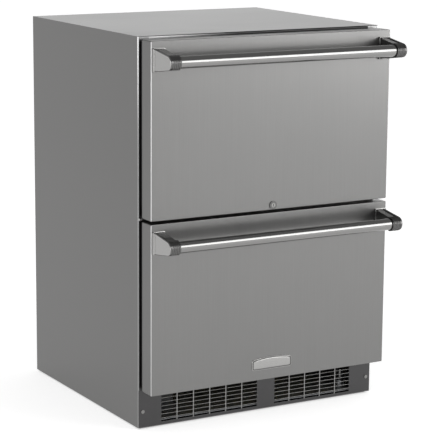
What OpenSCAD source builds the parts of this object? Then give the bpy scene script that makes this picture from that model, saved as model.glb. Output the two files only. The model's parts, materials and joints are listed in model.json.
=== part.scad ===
// Undercounter refrigerator with two insulated drawers, all in stainless steel.
// Millimetres, +Z up, the drawers open towards -Y and +X is to the right.
// The origin lies at floor level under the middle of the overall footprint.

/* [Cabinet] */
// Width over the side panels
cab_w = 606; // [580:1:640]
// Height of the top above the floor, with the legs screwed right in
cab_h = 857; // [840:1:900]
// Depth of the side panels, from the front flange to their rear edge
cab_d = 534; // [520:1:580]
// Gap between the floor and the lower edge of the side panels
floor_gap = 4; // [3:0.5:6]
// Thickness of the folded steel sheet
sheet = 1.2; // [0.8:0.1:1.6]
// Outside radius of the bends in the sheet
bend_r = 3; // [2.5:0.5:5]
// How far the service cover's fittings stand behind the side panels
rear_proud = 3; // [2:0.5:5]
// Width of the side panels' flanges at the rear
rear_return = 14; // [10:1:20]

/* [Insulation] */
// Side wall, from the outer face to the liner's inner face
side_wall = 36; // [32:1:45]
// Roof, from the top face to the liner's ceiling
top_wall = 42; // [38:1:50]
// Rear wall, from the side panels' rear edge to the liner
rear_wall = 48; // [40:1:55]
// Insulation between the compartment and the machine space
step_wall = 36; // [30:1:42]
// Thickness of the liner
liner_t = 1.5; // [1:0.1:2]
// Depth of the machine space at the lower rear
mach_d = 162; // [158:1:172]
// Height of the machine space above the base pan
mach_h = 272; // [262:1:290]
// Depth of the evaporator's space behind the bins
evap_d = 62; // [58:1:66]

/* [Drawer fronts] */
// Distance from the cabinet's side in to a front's side
front_side = 2.5; // [1:0.5:6]
// Thickness of a drawer front
front_t = 41; // [36:1:50]
// Outside radius of the bends round a front
front_r = 2.6; // [2:0.1:4]
// Height of the lower front; the upper one takes what is left of the cabinet's height
lower_front_h = 375.5; // [360:0.5:378]
// Drop from the cabinet's top to the upper front
head_gap = 5; // [3:0.5:8]
// Gap between the two fronts
drawer_gap = 6.5; // [5:0.5:9]
// Gap between the kick plate and the lower front
kick_gap = 1; // [0.5:0.5:3]
// Thickness of the moulded panel at the back of a front
back_panel_t = 2; // [1.5:0.1:3]
// How far the panel's raised middle enters the cabinet
plug_in = 4; // [2:0.5:8]
// Clearance round the raised middle
plug_clear = 4; // [3:0.5:6]

/* [Door seal] */
// Width of the seal strip
seal_w = 14; // [10:1:16]
// Space between a drawer front and the cabinet, filled by the seal
seal_t = 13; // [9:0.5:15]
// Inset of the seal from a front's edge
seal_inset = 6; // [4:0.5:9]
// Distance from the lock's barrel up to the upper seal's lowest strip
lock_clear = 1.5; // [1:0.5:4]
// Width of the steel face beyond the seal's inner edge
seal_lap = 4; // [3:0.5:6]
// Air left between the closed seal and the face
seal_air = 0.2; // [0.1:0.05:0.4]

/* [Handles] */
// Radius of the tubular bar
bar_r = 12.9; // [11:0.1:14]
// Wall of the bar
bar_wall = 1.6; // [1.2:0.1:2.5]
// Distance from a front's face to the bar's axis
standoff = 60; // [50:1:70]
// Distance from a front's side in to a post's outer end
post_inset = 6; // [5:0.5:24]
// Length of the turned post head
collar_len = 26; // [22:1:32]
// Radius of the turned post head
collar_r = 16; // [15:0.5:18]
// Height of a post's foot on the front
post_h = 50; // [40:1:56]
// Width of a post's foot
post_w = 29; // [26:1:34]
// How far a post's foot reaches past its outer side
foot_out = 3; // [0:0.5:4]
// Thickness of a post's foot
foot_t = 5; // [4:0.5:7]
// Length of the grooved band on a turned head
band_len = 17; // [13:0.5:19]
// Radius of the rounded edge round a post's outer side
side_edge = 5; // [3:0.5:6]
// Drop from a front's top edge to the bar's axis
bar_drop = 40; // [32:1:60]

/* [Lock] */
// Radius of the fixed lock barrel
lock_r = 8; // [7:0.1:8.5]
// Radius of the turning plug
plug_r = 5; // [4:0.1:5.5]
// Height of the lock's axis above the front's lower edge
lock_up = 10.5; // [10:0.1:12]
// How far the lock stands out of the face
lock_proud = 2; // [1:0.2:4]
// Reach of the cam from the lock's axis
cam_reach = 18; // [17:0.2:19]
// Thickness of the cam
cam_t = 2.5; // [2:0.1:2.8]
// Distance from the cam back to the mullion's face
cam_back = 3.6; // [3.2:0.1:4]
// Running clearance of the plug in its barrel
lock_play = 0.05; // [0.02:0.01:0.1]

/* [Kick plate] */
// Height of the kick plate's upper edge above the floor
kick_top = 88; // [84:0.5:96]
// Number of slot columns on the left
cols_left = 6; // [3:1:6]
// Number of slot columns on the right
cols_right = 5; // [3:1:5]
// Pitch of the slot columns
col_pitch = 41.2; // [36:0.2:42]
// Bar of plain sheet between two columns
col_bar = 3.6; // [3:0.2:6]
// Plain width between the two groups
group_gap = 46; // [30:1:60]
// Pitch of the louvres
louvre_pitch = 9.1; // [8:0.1:9.2]
// Height of a louvre's front edge
louvre_h = 3; // [2:0.1:4]
// Depth of a louvre behind the face
louvre_d = 6; // [4:0.5:8]
// Plain height left over and under the slots
slot_up = 7; // [5:0.5:9]
// Depth of the kick plate's folded upper edge
kick_fold = 12; // [8:1:16]

/* [Slides] */
// Distance of the slides behind the flange
slide_front = 12; // [8:1:20]
// Distance from the slides' rear end to a bin's rear wall
slide_back = 8; // [4:1:20]
// Height of a slide's middle above the floor that its bin runs over
slide_up = 45; // [40:1:60]
// Height of a slide
slide_h = 45; // [42:0.5:50]
// Thickness of a slide, wall to bin
slide_t = 12.7; // [12.7:0.1:14]
// Radius of the balls
ball_r = 1.4; // [1.2:0.1:1.5]
// Clearance between a ball and its groove
ball_air = 0.3; // [0.2:0.05:0.35]
// Number of balls in a row
balls = 5; // [3:1:9]
// Length of a ball cage
cage_len = 180; // [140:5:185]

/* [Bins] */
// Wall of a bin
bin_wall = 1.5; // [1.2:0.1:2.5]
// Outside radius of a bin's upright bends
bin_r = 8; // [5:1:14]
// Space over the upper bin, for the touch panel and the light
bin_head = 73; // [40:1:120]
// Clearance under and over the bins
bin_gap = 8; // [6:0.5:12]
// Width of the rolled rim
rim = 5; // [3:0.5:8]

/* [Legs] */
// Radius of the threaded stem
stem_r = 6; // [5:0.1:8]
// Radius of the foot pad
pad_r = 17; // [14:0.5:20]
// Distance of a leg from the cabinet's side
leg_in = 44; // [36:1:60]
// Distance of the front legs behind the flange
leg_front = 58; // [40:1:80]
// Distance of the rear legs before the rear edge
leg_rear = 36; // [30:1:44]
// How far a leg screws out
leg_travel = 25; // [20:1:30]
// Thickness of the foot pad
pad_t = 5; // [4:0.5:8]
// Height of the nuts on the base pan
nut_h = 12; // [10:1:16]

/* [Machine] */
// Height of the base pan's tray above the side panels' lower edge
pan_up = 6; // [5.5:0.5:10]
// Thickness of the base pan
pan_t = 2; // [1.5:0.1:3]
// Distance of the base pan behind the flange
pan_front = 14; // [10:1:20]
// Height of the base pan's side walls
pan_wall_h = 18; // [12:1:24]
// Wall of the nuts on the base pan
nut_wall = 6; // [4:0.5:7]
// Radius of the compressor's shell
comp_r = 66; // [60:1:68]
// Height of the compressor
comp_h = 165; // [150:1:168]
// Height of the compressor's rubber mounts
mount_h = 12; // [8:1:14]
// Radius of a rubber mount
mount_r = 9; // [7:0.5:11]
// Distance from the compressor's middle to its mounts, front to back
mount_y = 36; // [30:1:42]
// Reach of the starter box beyond the compressor's shell
starter_x = 26; // [20:1:30]
// Width of the starter box
starter_y = 48; // [40:1:60]
// Height of the starter box
starter_h = 60; // [50:1:70]
// Height of the starter box above the foot plate
starter_up = 40; // [30:1:45]
// Height of the drain pan on the compressor
drain_pan_h = 34; // [24:1:40]
// Half length of the drain pan
drain_pan_x = 80; // [70:1:84]
// Half width of the drain pan
drain_pan_y = 62; // [56:1:66]
// Width of the condenser
cond_w = 230; // [200:2:240]
// Height of the condenser
cond_h = 200; // [180:2:220]
// Thickness of the condenser
cond_d = 40; // [30:1:44]
// Radius of the condenser's fan
fan_r = 72; // [60:1:76]
// Radius of the evaporator's fan
evap_fan_r = 50; // [40:1:54]
// Length of the evaporator fan's hub
evap_hub_h = 16; // [12:1:18]
// Distance from the evaporator's cover back to its coil
evap_in = 12; // [10:1:16]
// Distance from the liner's side to the evaporator's end plates
evap_side = 77; // [60:1:90]
// Length of the control box
ctrl_x = 110; // [90:1:130]
// Depth of the control box
ctrl_y = 140; // [110:1:150]
// Height of the control box
ctrl_z = 45; // [35:1:60]
// Length of the touch panel
touch_x = 160; // [120:2:200]
// Depth of the touch panel
touch_y = 40; // [30:1:50]
// Thickness of the touch panel
touch_t = 9; // [7:0.5:12]
// Distance of the touch panel behind the flange
touch_front = 20; // [14:1:26]
// Length of the interior light
light_x = 300; // [200:5:340]
// Depth of the interior light
light_y = 18; // [14:1:24]
// Thickness of the interior light
light_t = 7; // [6.2:0.2:10]
// Distance from the touch panel back to the light
light_gap = 20; // [10:1:40]

/* [Hidden] */

// Main planes, from front to back
front_stack = seal_t + front_t;
overall_d = collar_r + standoff + front_stack + cab_d + rear_proud;
y_rear = overall_d / 2;
y_back = y_rear - rear_proud;
y_flange = y_back - cab_d;
y_seal = y_flange - seal_t;
y_face = y_seal - front_t;
y_bar = y_face - standoff;
half_w = cab_w / 2;
front_half = half_w - front_side;

// Heights of the fronts and of the faces that the seals close on
z_lower_bot = kick_top + kick_gap;
z_lower_top = z_lower_bot + lower_front_h;
z_upper_bot = z_lower_top + drawer_gap;
z_upper_top = cab_h - head_gap;
lock_band = lock_up + lock_r + lock_clear;
face_band = seal_inset + seal_w + seal_lap;
face_side_x = front_half - face_band;
z_face_top = z_upper_top - face_band;
z_mull_top = z_upper_bot + lock_band + seal_w + seal_lap;
z_mull_bot = z_lower_top - face_band;
z_rail_top = z_lower_bot + face_band;

// Liner and machine space
liner_half = half_w - side_wall;
z_ceiling = cab_h - top_wall;
z_floor = z_rail_top + 2;
y_liner = y_back - rear_wall;
pan_floor = floor_gap + pan_up;
pan_top = pan_floor + pan_t;
y_mach = y_back - mach_d;
z_mach = pan_top + mach_h;
y_step = y_mach - step_wall;
z_step = z_mach + step_wall;
z_duct = kick_top + sheet;
rail_d = 20;
mull_d = 50;

// Slides and bins
z_upper_slide = z_mull_top + slide_up;
z_lower_slide = z_step + slide_up;
cover_gap = 4;
y_evap_cover = y_liner - evap_d;
bin_half = liner_half - slide_t;
y_bin = y_flange + plug_in;
y_bin_back = y_evap_cover - cover_gap;
y_slide = y_flange + slide_front;
slide_len = y_bin_back - slide_back - y_slide;
z_upper_bin = z_mull_top + bin_gap;
z_upper_rim = z_ceiling - bin_head;
z_lower_bin = z_floor + bin_gap;
z_lower_shelf = z_step + bin_gap;
z_lower_rim = z_mull_bot - bin_gap;
y_bin_step = y_step - bin_gap;

// Cross-section of a slide: x from the liner wall, z from the middle
race_t = 1.4;
member_t = 1.6;
groove_r = ball_r + ball_air;
mid_band = 1.3;
outer_ball_z = slide_h / 2 - member_t - ball_r;
inner_ball_z = outer_ball_z - 2 * ball_r - mid_band;
outer_ball_x = slide_t / 2;
inner_ball_x = outer_ball_x + mid_band;
race_gap = 1.2;
cage_t = 0.6;
cage_y = y_slide + (slide_len - cage_len) / 2;

// Legs, lock and fans
leg_y_front = y_flange + leg_front;
leg_y_rear = y_back - leg_rear;
leg_play = 0.05;
z_lock = z_upper_bot + lock_up;
y_cam = y_flange - cam_back - cam_t;
fan_x = -half_w / 2 + 10;
fan_z = pan_top + cond_h / 2 + 10;
y_cond = y_mach + 8;
comp_x = half_w / 2;
comp_y = y_back - mach_d / 2 - 1;
evap_fan_z = z_ceiling - evap_fan_r - 60;
steel = "silver";
dark = [0.12, 0.12, 0.13];

$fn = 48;

// ---- shared shapes ----

// A box given by its low and high corners
module slab(lo, hi) {
  translate(lo) cube([hi[0] - lo[0], hi[1] - lo[1], hi[2] - lo[2]]);
}

// Carries an X-Z outline along Y
module along_y(y0, len) {
  translate([0, y0 + len, 0]) rotate([90, 0, 0]) linear_extrude(height = len) children();
}

// Carries a Y-Z outline along X
module along_x(x0, len) {
  translate([x0, 0, 0]) rotate([90, 0, 90]) linear_extrude(height = len) children();
}

// A round bar or hole along X, Y or Z
module x_rod(x0, x1, y, z, r) {
  translate([x0, y, z]) rotate([0, 90, 0]) cylinder(h = x1 - x0, r = r);
}
module y_rod(x, y0, y1, z, r) {
  translate([x, y1, z]) rotate([90, 0, 0]) cylinder(h = y1 - y0, r = r);
}
module z_rod(x, y, z0, z1, r) {
  translate([x, y, z0]) cylinder(h = z1 - z0, r = r);
}

// A rectangle by its corners, all four rounded
module round_rect(lo, hi, r) {
  translate([lo[0] + r, lo[1]]) square([hi[0] - lo[0] - 2 * r, hi[1] - lo[1]]);
  translate([lo[0], lo[1] + r]) square([hi[0] - lo[0], hi[1] - lo[1] - 2 * r]);
  for (x = [lo[0] + r, hi[0] - r])
    for (y = [lo[1] + r, hi[1] - r])
      translate([x, y]) circle(r = r);
}

// Both sides of the cabinet, the right one mirrored
module both_sides() {
  children();
  mirror([1, 0, 0]) children();
}

// ---- cabinet ----

// Plan of the left side panel: front flange, bend, wall and rear flange
module side_plan() {
  difference() {
    union() {
      translate([-half_w, y_flange + bend_r]) square([rear_return, cab_d - bend_r]);
      translate([-half_w + bend_r, y_flange]) square([half_w - bend_r - face_side_x, 2 * bend_r]);
      translate([-half_w + bend_r, y_flange + bend_r]) circle(r = bend_r);
    }
    translate([-half_w + sheet, y_flange + bend_r]) square([cab_w, cab_d - bend_r - sheet]);
    translate([-half_w + bend_r, y_flange + sheet]) square([cab_w, cab_d - 2 * sheet]);
    translate([-half_w + bend_r, y_flange + bend_r]) circle(r = bend_r - sheet);
  }
}

// Beside the kick plate only the wall and the rear flange go on down
module side_plan_low() {
  difference() {
    translate([-half_w, y_flange]) square([rear_return, cab_d]);
    translate([-half_w + sheet, y_flange - 1]) square([cab_w, cab_d + 1 - sheet]);
  }
}

// The kick plate screws to a strip that is set back by one sheet behind the front flange
module side_panel() {
  strip_lap = 8;
  strip_w = 20;
  translate([0, 0, kick_top])
    linear_extrude(height = cab_h - sheet - kick_top) side_plan();
  translate([0, 0, floor_gap]) linear_extrude(height = kick_top - floor_gap) side_plan_low();
  slab([-half_w + sheet / 2, y_flange + sheet, floor_gap],
    [-half_w + strip_w, y_flange + 2 * sheet, kick_top + strip_lap]);
}

module left_side_panel() {
  color(steel) side_panel();
}

module right_side_panel() {
  color(steel) mirror([1, 0, 0]) side_panel();
}

// Side outline of the top sheet: flat, front bend and front flange
module top_outline() {
  translate([y_flange + bend_r, cab_h - sheet]) square([cab_d - bend_r, sheet]);
  intersection() {
    difference() {
      translate([y_flange + bend_r, cab_h - bend_r]) circle(r = bend_r);
      translate([y_flange + bend_r, cab_h - bend_r]) circle(r = bend_r - sheet);
    }
    translate([y_flange, cab_h - bend_r]) square(bend_r);
  }
  translate([y_flange, z_face_top]) square([sheet, cab_h - bend_r - z_face_top]);
}

// The top sheet laps over both side panels; its front flange drops between theirs
module top_panel() {
  color(steel) {
    along_x(-face_side_x, 2 * face_side_x) top_outline();
    along_x(-half_w, cab_w) intersection() {
      top_outline();
      translate([y_flange, cab_h - sheet]) square([cab_d, sheet]);
    }
  }
}

// Rear sheet behind the side panels' flanges, with a window to the machine space
module rear_panel() {
  window_x = half_w - rear_return - 12;
  color(steel) difference() {
    union() {
      slab([-half_w + sheet, y_back - 2 * sheet, floor_gap],
        [half_w - sheet, y_back - sheet, cab_h - sheet]);
      for (x = [-0.5, 0, 0.5])
        along_y(y_back - 2 * sheet, 2 * sheet)
          round_rect([x * half_w - 9, z_mach + 60], [x * half_w + 9, cab_h - 60], 8);
    }
    slab([-window_x, y_back - 3 * sheet, pan_top + 12], [window_x, y_back, z_mach - 12]);
  }
}

// Vented cover over the machine space
cover_x = half_w - rear_return - 2;
module rear_service_cover() {
  rows = 9;
  color(steel) difference() {
    slab([-cover_x, y_back - sheet, pan_top + 2], [cover_x, y_back, z_mach - 2]);
    for (side = [-1, 1])
      for (i = [0 : rows - 1])
        along_y(y_back - 2 * sheet, 3 * sheet)
          round_rect([side * comp_x - 70, pan_top + 60 + 18 * i],
            [side * comp_x + 70, pan_top + 66 + 18 * i], 2.9);
    y_rod(0, y_back - 2 * sheet, y_back + 1, gland_z, gland_r);
  }
}

// Bushing that the mains lead passes through
gland_r = 9;
gland_z = pan_top + 40;
module cord_gland() {
  color(dark) difference() {
    union() {
      y_rod(0, y_back - sheet, y_back, gland_z, gland_r);
      y_rod(0, y_back, y_rear, gland_z, gland_r + 4);
      y_rod(0, y_back - sheet - 8, y_back - sheet, gland_z, gland_r - 1.5);
    }
    y_rod(0, y_back - 30, y_rear + 1, gland_z, 4.5);
  }
}

// Screws of the kick plate and of the service cover
module panel_screws() {
  color("gray") {
    both_sides() {
      y_rod(kick_screw_x, y_flange - 1.5, y_flange, kick_screw_z, 4.2);
      for (z = [pan_top + 20, z_mach - 20])
        y_rod(cover_x - 12, y_back, y_back + rear_proud / 2, z, 4.2);
    }
  }
}

// Folded tray that carries the machine and the legs, with a welded nut at each leg
module leg_places() {
  for (x = [-1, 1])
    for (y = [leg_y_front, leg_y_rear])
      translate([x * (half_w - leg_in), y, 0]) children();
}

module base_pan() {
  wall = 1.5;
  inner = half_w - sheet;
  color("lightgray") difference() {
    union() {
      slab([-inner, y_flange + pan_front, pan_floor], [inner, y_back - 2 * sheet, pan_top]);
      both_sides() slab([inner - wall, y_flange + pan_front, pan_floor],
        [inner, y_back - 2 * sheet, pan_top + pan_wall_h]);
      leg_places() translate([0, 0, pan_top]) cylinder(h = nut_h, r = stem_r + nut_wall);
    }
    leg_places() translate([0, 0, pan_floor - 1]) cylinder(h = nut_h + 5, r = stem_r + leg_play);
  }
}

// Side outline of the compartment, grown by g on its closed sides
module cavity_side(g) {
  polygon([[y_flange - 1, z_floor - g], [y_step + g, z_floor - g], [y_step + g, z_step - g],
    [y_liner + g, z_step - g], [y_liner + g, z_ceiling + g], [y_flange - 1, z_ceiling + g]]);
}

module cavity(g) {
  along_x(-liner_half - g, 2 * (liner_half + g)) cavity_side(g);
}

// Foamed insulation between the shell and the liner
module foam_insulation() {
  x = half_w - sheet;
  y0 = y_flange + sheet + liner_t;
  y1 = y_back - 2 * sheet;
  color("khaki") difference() {
    slab([-x, y0 + bend_r, z_duct], [x, y1, cab_h - sheet]);
    cavity(liner_t);
    slab([-x - 1, y_mach, z_duct - 1], [x + 1, y1 + 1, z_mach]);
    z_rod(drain_x, drain_y, z_mach - 1, z_step + 1, drain_r);
  }
}

// Stainless liner with a step over the machine space and a flange behind the face
module inner_liner() {
  color("gainsboro") difference() {
    union() {
      difference() {
        cavity(liner_t);
        slab([-half_w, y_flange - 2, 0], [half_w, y_flange + sheet, cab_h]);
      }
      slab([-face_side_x - 4, y_flange + sheet, z_rail_top - 4],
        [face_side_x + 4, y_flange + sheet + liner_t, z_face_top + 4]);
    }
    cavity(0);
    z_rod(drain_x, drain_y, z_step - 2 * liner_t, z_step + 1, drain_r);
  }
}

// Insulated bar between the two openings, with the lock's keeper on its face
module mullion() {
  keep_x = plug_r + 2;
  keep_z = z_lock - cam_reach;
  keep_y = (y_seal + y_cam - 1) / 2;
  color(steel) {
    slab([-face_side_x, y_flange, z_mull_bot], [face_side_x, y_flange + sheet, z_mull_top]);
    difference() {
      slab([-liner_half, y_flange + sheet, z_mull_bot], [liner_half, y_flange + mull_d, z_mull_top]);
      slab([-liner_half - 1, y_flange + 2 * sheet, z_mull_bot + sheet],
        [liner_half + 1, y_flange + mull_d - sheet, z_mull_top - sheet]);
    }
    slab([keep_x, keep_y, keep_z - 2], [keep_x + 2, y_flange, keep_z + 5]);
    slab([-plug_r, keep_y, keep_z - 2], [keep_x + 2, y_cam - 0.8, keep_z + 5]);
  }
}

// Folded rail under the lower opening
module front_rail() {
  color(steel) {
    slab([-face_side_x, y_flange, kick_top], [face_side_x, y_flange + sheet, z_rail_top]);
    slab([-face_side_x, y_flange, kick_top], [face_side_x, y_flange + rail_d, z_duct]);
  }
}

// ---- kick plate ----

kick_half = half_w - sheet - 0.2;
kick_screw_x = half_w - 11;
kick_screw_z = floor_gap + 36;
group_w_left = cols_left * col_pitch - col_bar;
group_w_right = cols_right * col_pitch - col_bar;
group_x0 = -(group_w_left + group_gap + group_w_right) / 2;
slot_w = col_pitch - col_bar;

// Left edges of all slot columns
function column_x() = concat(
  [for (i = [0 : cols_left - 1]) group_x0 + i * col_pitch],
  [for (i = [0 : cols_right - 1]) group_x0 + group_w_left + group_gap + i * col_pitch]);

window_lo = floor_gap + slot_up;
louvres = floor((kick_top - slot_up - window_lo + louvre_h) / louvre_pitch);
window_hi = window_lo + louvres * louvre_pitch - louvre_h;

// One louvre in side view: a front edge that leans back and down
module louvre_side(z) {
  polygon([[y_flange, z], [y_flange, z + louvre_h], [y_flange + sheet, z + louvre_h],
    [y_flange + louvre_d, z + louvre_h - 0.7 * louvre_d],
    [y_flange + louvre_d - sheet, z + louvre_h - 0.7 * louvre_d - sheet],
    [y_flange + sheet, z]]);
}

// Plate between the side panels' lower ends, with two groups of louvred slots
module kick_plate() {
  color("dimgray") {
    along_y(y_flange, sheet) difference() {
      translate([-kick_half, floor_gap]) square([2 * kick_half, kick_top - floor_gap]);
      for (x = column_x())
        translate([x, window_lo]) square([slot_w, window_hi - window_lo]);
    }
    for (x = column_x())
      along_x(x - 0.5, slot_w + 1)
        for (i = [1 : louvres - 1])
          louvre_side(window_lo + i * louvre_pitch - louvre_h);
    slab([-face_side_x + 0.2, y_flange, kick_top - sheet],
      [face_side_x - 0.2, y_flange + kick_fold, kick_top]);
  }
}

// ---- machine ----

// Sealed compressor: drawn shell with a welded seam, foot plate and starter box
module compressor() {
  z0 = pan_top + mount_h;
  foot_x = comp_r + mount_r;
  foot_y = mount_y + mount_r;
  color(dark) {
    translate([comp_x, comp_y, z0]) difference() {
      rotate_extrude($fn = 64) union() {
        translate([0, 2]) square([comp_r - 14, comp_h - 2]);
        translate([0, 14]) square([comp_r, comp_h - 28]);
        translate([comp_r - 14, comp_h - 14]) intersection() {
          circle(r = 14);
          square(14);
        }
        translate([comp_r - 14, 14]) intersection() {
          circle(r = 14);
          translate([0, -12]) square([14, 12]);
        }
        translate([0, comp_h / 2 - 3]) square([comp_r + 3, 6]);
      }
    }
    difference() {
      slab([comp_x - foot_x, comp_y - foot_y, z0], [comp_x + foot_x, comp_y + foot_y, z0 + 3]);
      for (x = [-1, 1])
        for (y = [-1, 1])
          z_rod(comp_x + x * comp_r, comp_y + y * mount_y, z0 - 1, z0 + 4, mount_r / 2);
    }
    slab([comp_x - comp_r - starter_x, comp_y - starter_y / 2, z0 + starter_up],
      [comp_x - comp_r + 8, comp_y + starter_y / 2, z0 + starter_up + starter_h]);
  }
}

// Rubber grommets between the foot plate and the pan
module compressor_mounts() {
  color([0.08, 0.08, 0.08])
    for (x = [-1, 1])
      for (y = [-1, 1])
        z_rod(comp_x + x * comp_r, comp_y + y * mount_y, pan_top, pan_top + mount_h, mount_r);
}

// A block of fins on one tube that runs to and fro, with a return bend after each row
module finned_coil(lo, hi, fins, rows, tube_r) {
  fin_t = 2;
  stub = 3;
  row_x = lo[0] - stub;
  row_len = hi[0] - lo[0] + 2 * stub;
  pitch_x = (hi[0] - lo[0] - fin_t) / fins;
  pitch_z = (hi[2] - lo[2]) / rows;
  y_mid = (lo[1] + hi[1]) / 2;
  for (i = [0 : fins])
    translate([lo[0] + i * pitch_x, lo[1], lo[2]]) cube([fin_t, hi[1] - lo[1], hi[2] - lo[2]]);
  for (j = [0 : rows - 1])
    translate([row_x, y_mid, lo[2] + (j + 0.5) * pitch_z]) rotate([0, 90, 0])
      cylinder(h = row_len, r = tube_r);
  for (j = [1 : rows - 1])
    translate([j % 2 == 1 ? row_x : row_x + row_len, y_mid, lo[2] + j * pitch_z])
      mirror([j % 2, 0, 0])
        return_bend(pitch_z / 2, tube_r);
}

// Half a ring that joins two rows on the +X side
module return_bend(bend, tube_r) {
  rotate([90, 0, 0]) rotate([0, 0, -90]) rotate_extrude(angle = 180)
    translate([bend, 0]) circle(r = tube_r);
}

cond_rows = 8;
cond_pitch = cond_h / cond_rows;
module condenser() {
  color("darkslategray") finned_coil([fan_x - cond_w / 2, y_cond, pan_top],
    [fan_x + cond_w / 2, y_cond + cond_d, pan_top + cond_h], 18, cond_rows, 4);
}

// Plate with a ring round the fan, and three arms to the motor
y_shroud = y_cond + cond_d;
y_fan_motor = y_shroud + 34;
fan_motor_r = 20;
fan_motor_l = 32;
fan_shaft_r = 4;
module condenser_fan_shroud() {
  ring_in = fan_r + 4;
  ring_out = ring_in + 2;
  color([0.2, 0.2, 0.2]) {
    difference() {
      slab([fan_x - cond_w / 2, y_shroud, pan_top], [fan_x + cond_w / 2, y_shroud + 2, pan_top + cond_h]);
      y_rod(fan_x, y_shroud - 1, y_shroud + 3, fan_z, ring_in);
    }
    difference() {
      y_rod(fan_x, y_shroud, y_fan_motor, fan_z, ring_out);
      y_rod(fan_x, y_shroud - 1, y_fan_motor + 1, fan_z, ring_in);
    }
    difference() {
      for (a = [90, 210, 330])
        translate([fan_x, y_fan_motor, fan_z]) rotate([0, a, 0])
          slab([0, 0, -4], [ring_out, 4, 4]);
      y_rod(fan_x, y_shroud, y_fan_motor + 10, fan_z, fan_motor_r);
    }
  }
}

// Shaded-pole motor with its shaft towards the condenser
module condenser_fan_motor() {
  color("slategray") {
    y_rod(fan_x, y_fan_motor, y_fan_motor + fan_motor_l, fan_z, fan_motor_r);
    y_rod(fan_x, y_shroud + 6, y_fan_motor, fan_z, fan_shaft_r);
  }
}

// Hub with pitched blades, on a shaft that lies along Y
module fan_wheel(hub_r, tip_r, hub_h, shaft_r, blades) {
  rotate([90, 0, 0]) translate([0, 0, -hub_h / 2]) difference() {
    union() {
      cylinder(h = hub_h, r = hub_r);
      for (i = [0 : blades - 1])
        rotate([0, 0, i * 360 / blades])
          intersection() {
            translate([hub_r - 3, 0, hub_h / 2]) rotate([28, 0, 0])
              translate([0, -tip_r / 3, -0.9]) cube([tip_r, 2 * tip_r / 3, 1.8]);
            cylinder(h = hub_h, r = tip_r);
          }
    }
    translate([0, 0, -1]) cylinder(h = hub_h + 2, r = shaft_r + 0.05);
  }
}

module condenser_fan_blade() {
  color([0.15, 0.15, 0.16]) translate([fan_x, y_shroud + 20, fan_z])
    fan_wheel(fan_r / 4, fan_r, fan_r / 3, fan_shaft_r, 5);
}

// A bent tube through a list of points
module pipe(p, r) {
  for (i = [0 : len(p) - 2]) {
    v = p[i + 1] - p[i];
    l = norm(v);
    translate(p[i]) rotate([0, acos(v[2] / l), atan2(v[1], v[0])]) cylinder(h = l, r = r, $fn = 24);
    if (i > 0) translate(p[i]) sphere(r = r, $fn = 24);
  }
}

// Discharge line, filter drier with its capillary, and suction line
module refrigerant_lines() {
  z_stub = pan_top + mount_h + 0.72 * comp_h;
  x_cond = fan_x + cond_w / 2 + 3.3;
  y_cond_mid = y_cond + cond_d / 2;
  z_row = pan_top + cond_pitch / 2;
  z_inlet = z_row + cond_h - cond_pitch;
  line_x = comp_x - drain_pan_x - 6;
  drier_r = 9;
  drier_x = x_cond + cond_pitch / 2 + drier_r + 7;
  drier_z = z_row + 60;
  drier_h = 70;
  suction_x = comp_x + drain_pan_x + 6;
  color("peru") {
    pipe([[comp_x - comp_r - 0.3, comp_y, z_stub], [line_x, comp_y, z_stub],
      [line_x, y_cond_mid, z_stub], [line_x, y_cond_mid, z_inlet],
      [x_cond, y_cond_mid, z_inlet]], 3);
    pipe([[x_cond, y_cond_mid, z_row], [drier_x, y_cond_mid, z_row],
      [drier_x, y_cond_mid, drier_z]], 3);
    translate([drier_x, y_cond_mid, drier_z]) cylinder(h = drier_h, r = drier_r);
    pipe([[drier_x, y_cond_mid, drier_z + drier_h], [drier_x, y_cond_mid, z_mach - 0.3]], 2);
    pipe([[comp_x + comp_r + 0.3, comp_y, z_stub], [suction_x, comp_y, z_stub],
      [suction_x, comp_y, z_mach - 0.3]], 3);
  }
}

// Shallow pan on the compressor, where the melt water dries off
drain_x = comp_x;
drain_y = y_back - rear_wall - 14;
drain_r = 6;
z_pan = pan_top + mount_h + comp_h;
module drain_plan(w) {
  round_rect([comp_x - drain_pan_x + w, comp_y - drain_pan_y + w],
    [comp_x + drain_pan_x - w, comp_y + drain_pan_y - w], 12 - w);
}

module drain_pan() {
  color("whitesmoke") difference() {
    translate([0, 0, z_pan]) linear_extrude(height = drain_pan_h) drain_plan(0);
    translate([0, 0, z_pan + 2]) linear_extrude(height = drain_pan_h) drain_plan(2);
  }
}

// Tube from the liner's step through the insulation to the pan
module drain_tube() {
  color("lightgray") difference() {
    union() {
      z_rod(drain_x, drain_y, z_pan + 12, z_step, drain_r);
      z_rod(drain_x, drain_y, z_step, z_step + 1.5, drain_r + 4);
    }
    z_rod(drain_x, drain_y, z_pan + 11, z_step + 2, drain_r - 1.5);
  }
}

// ---- inside the compartment ----

y_evap = y_evap_cover + evap_in;
evap_z0 = z_step + 16;
module evaporator() {
  evap_half = liner_half - evap_side;
  color("silver") finned_coil([-evap_half, y_evap, evap_z0],
    [evap_half, y_liner, evap_fan_z - evap_fan_r - 24], 15, 6, 4);
}

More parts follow.
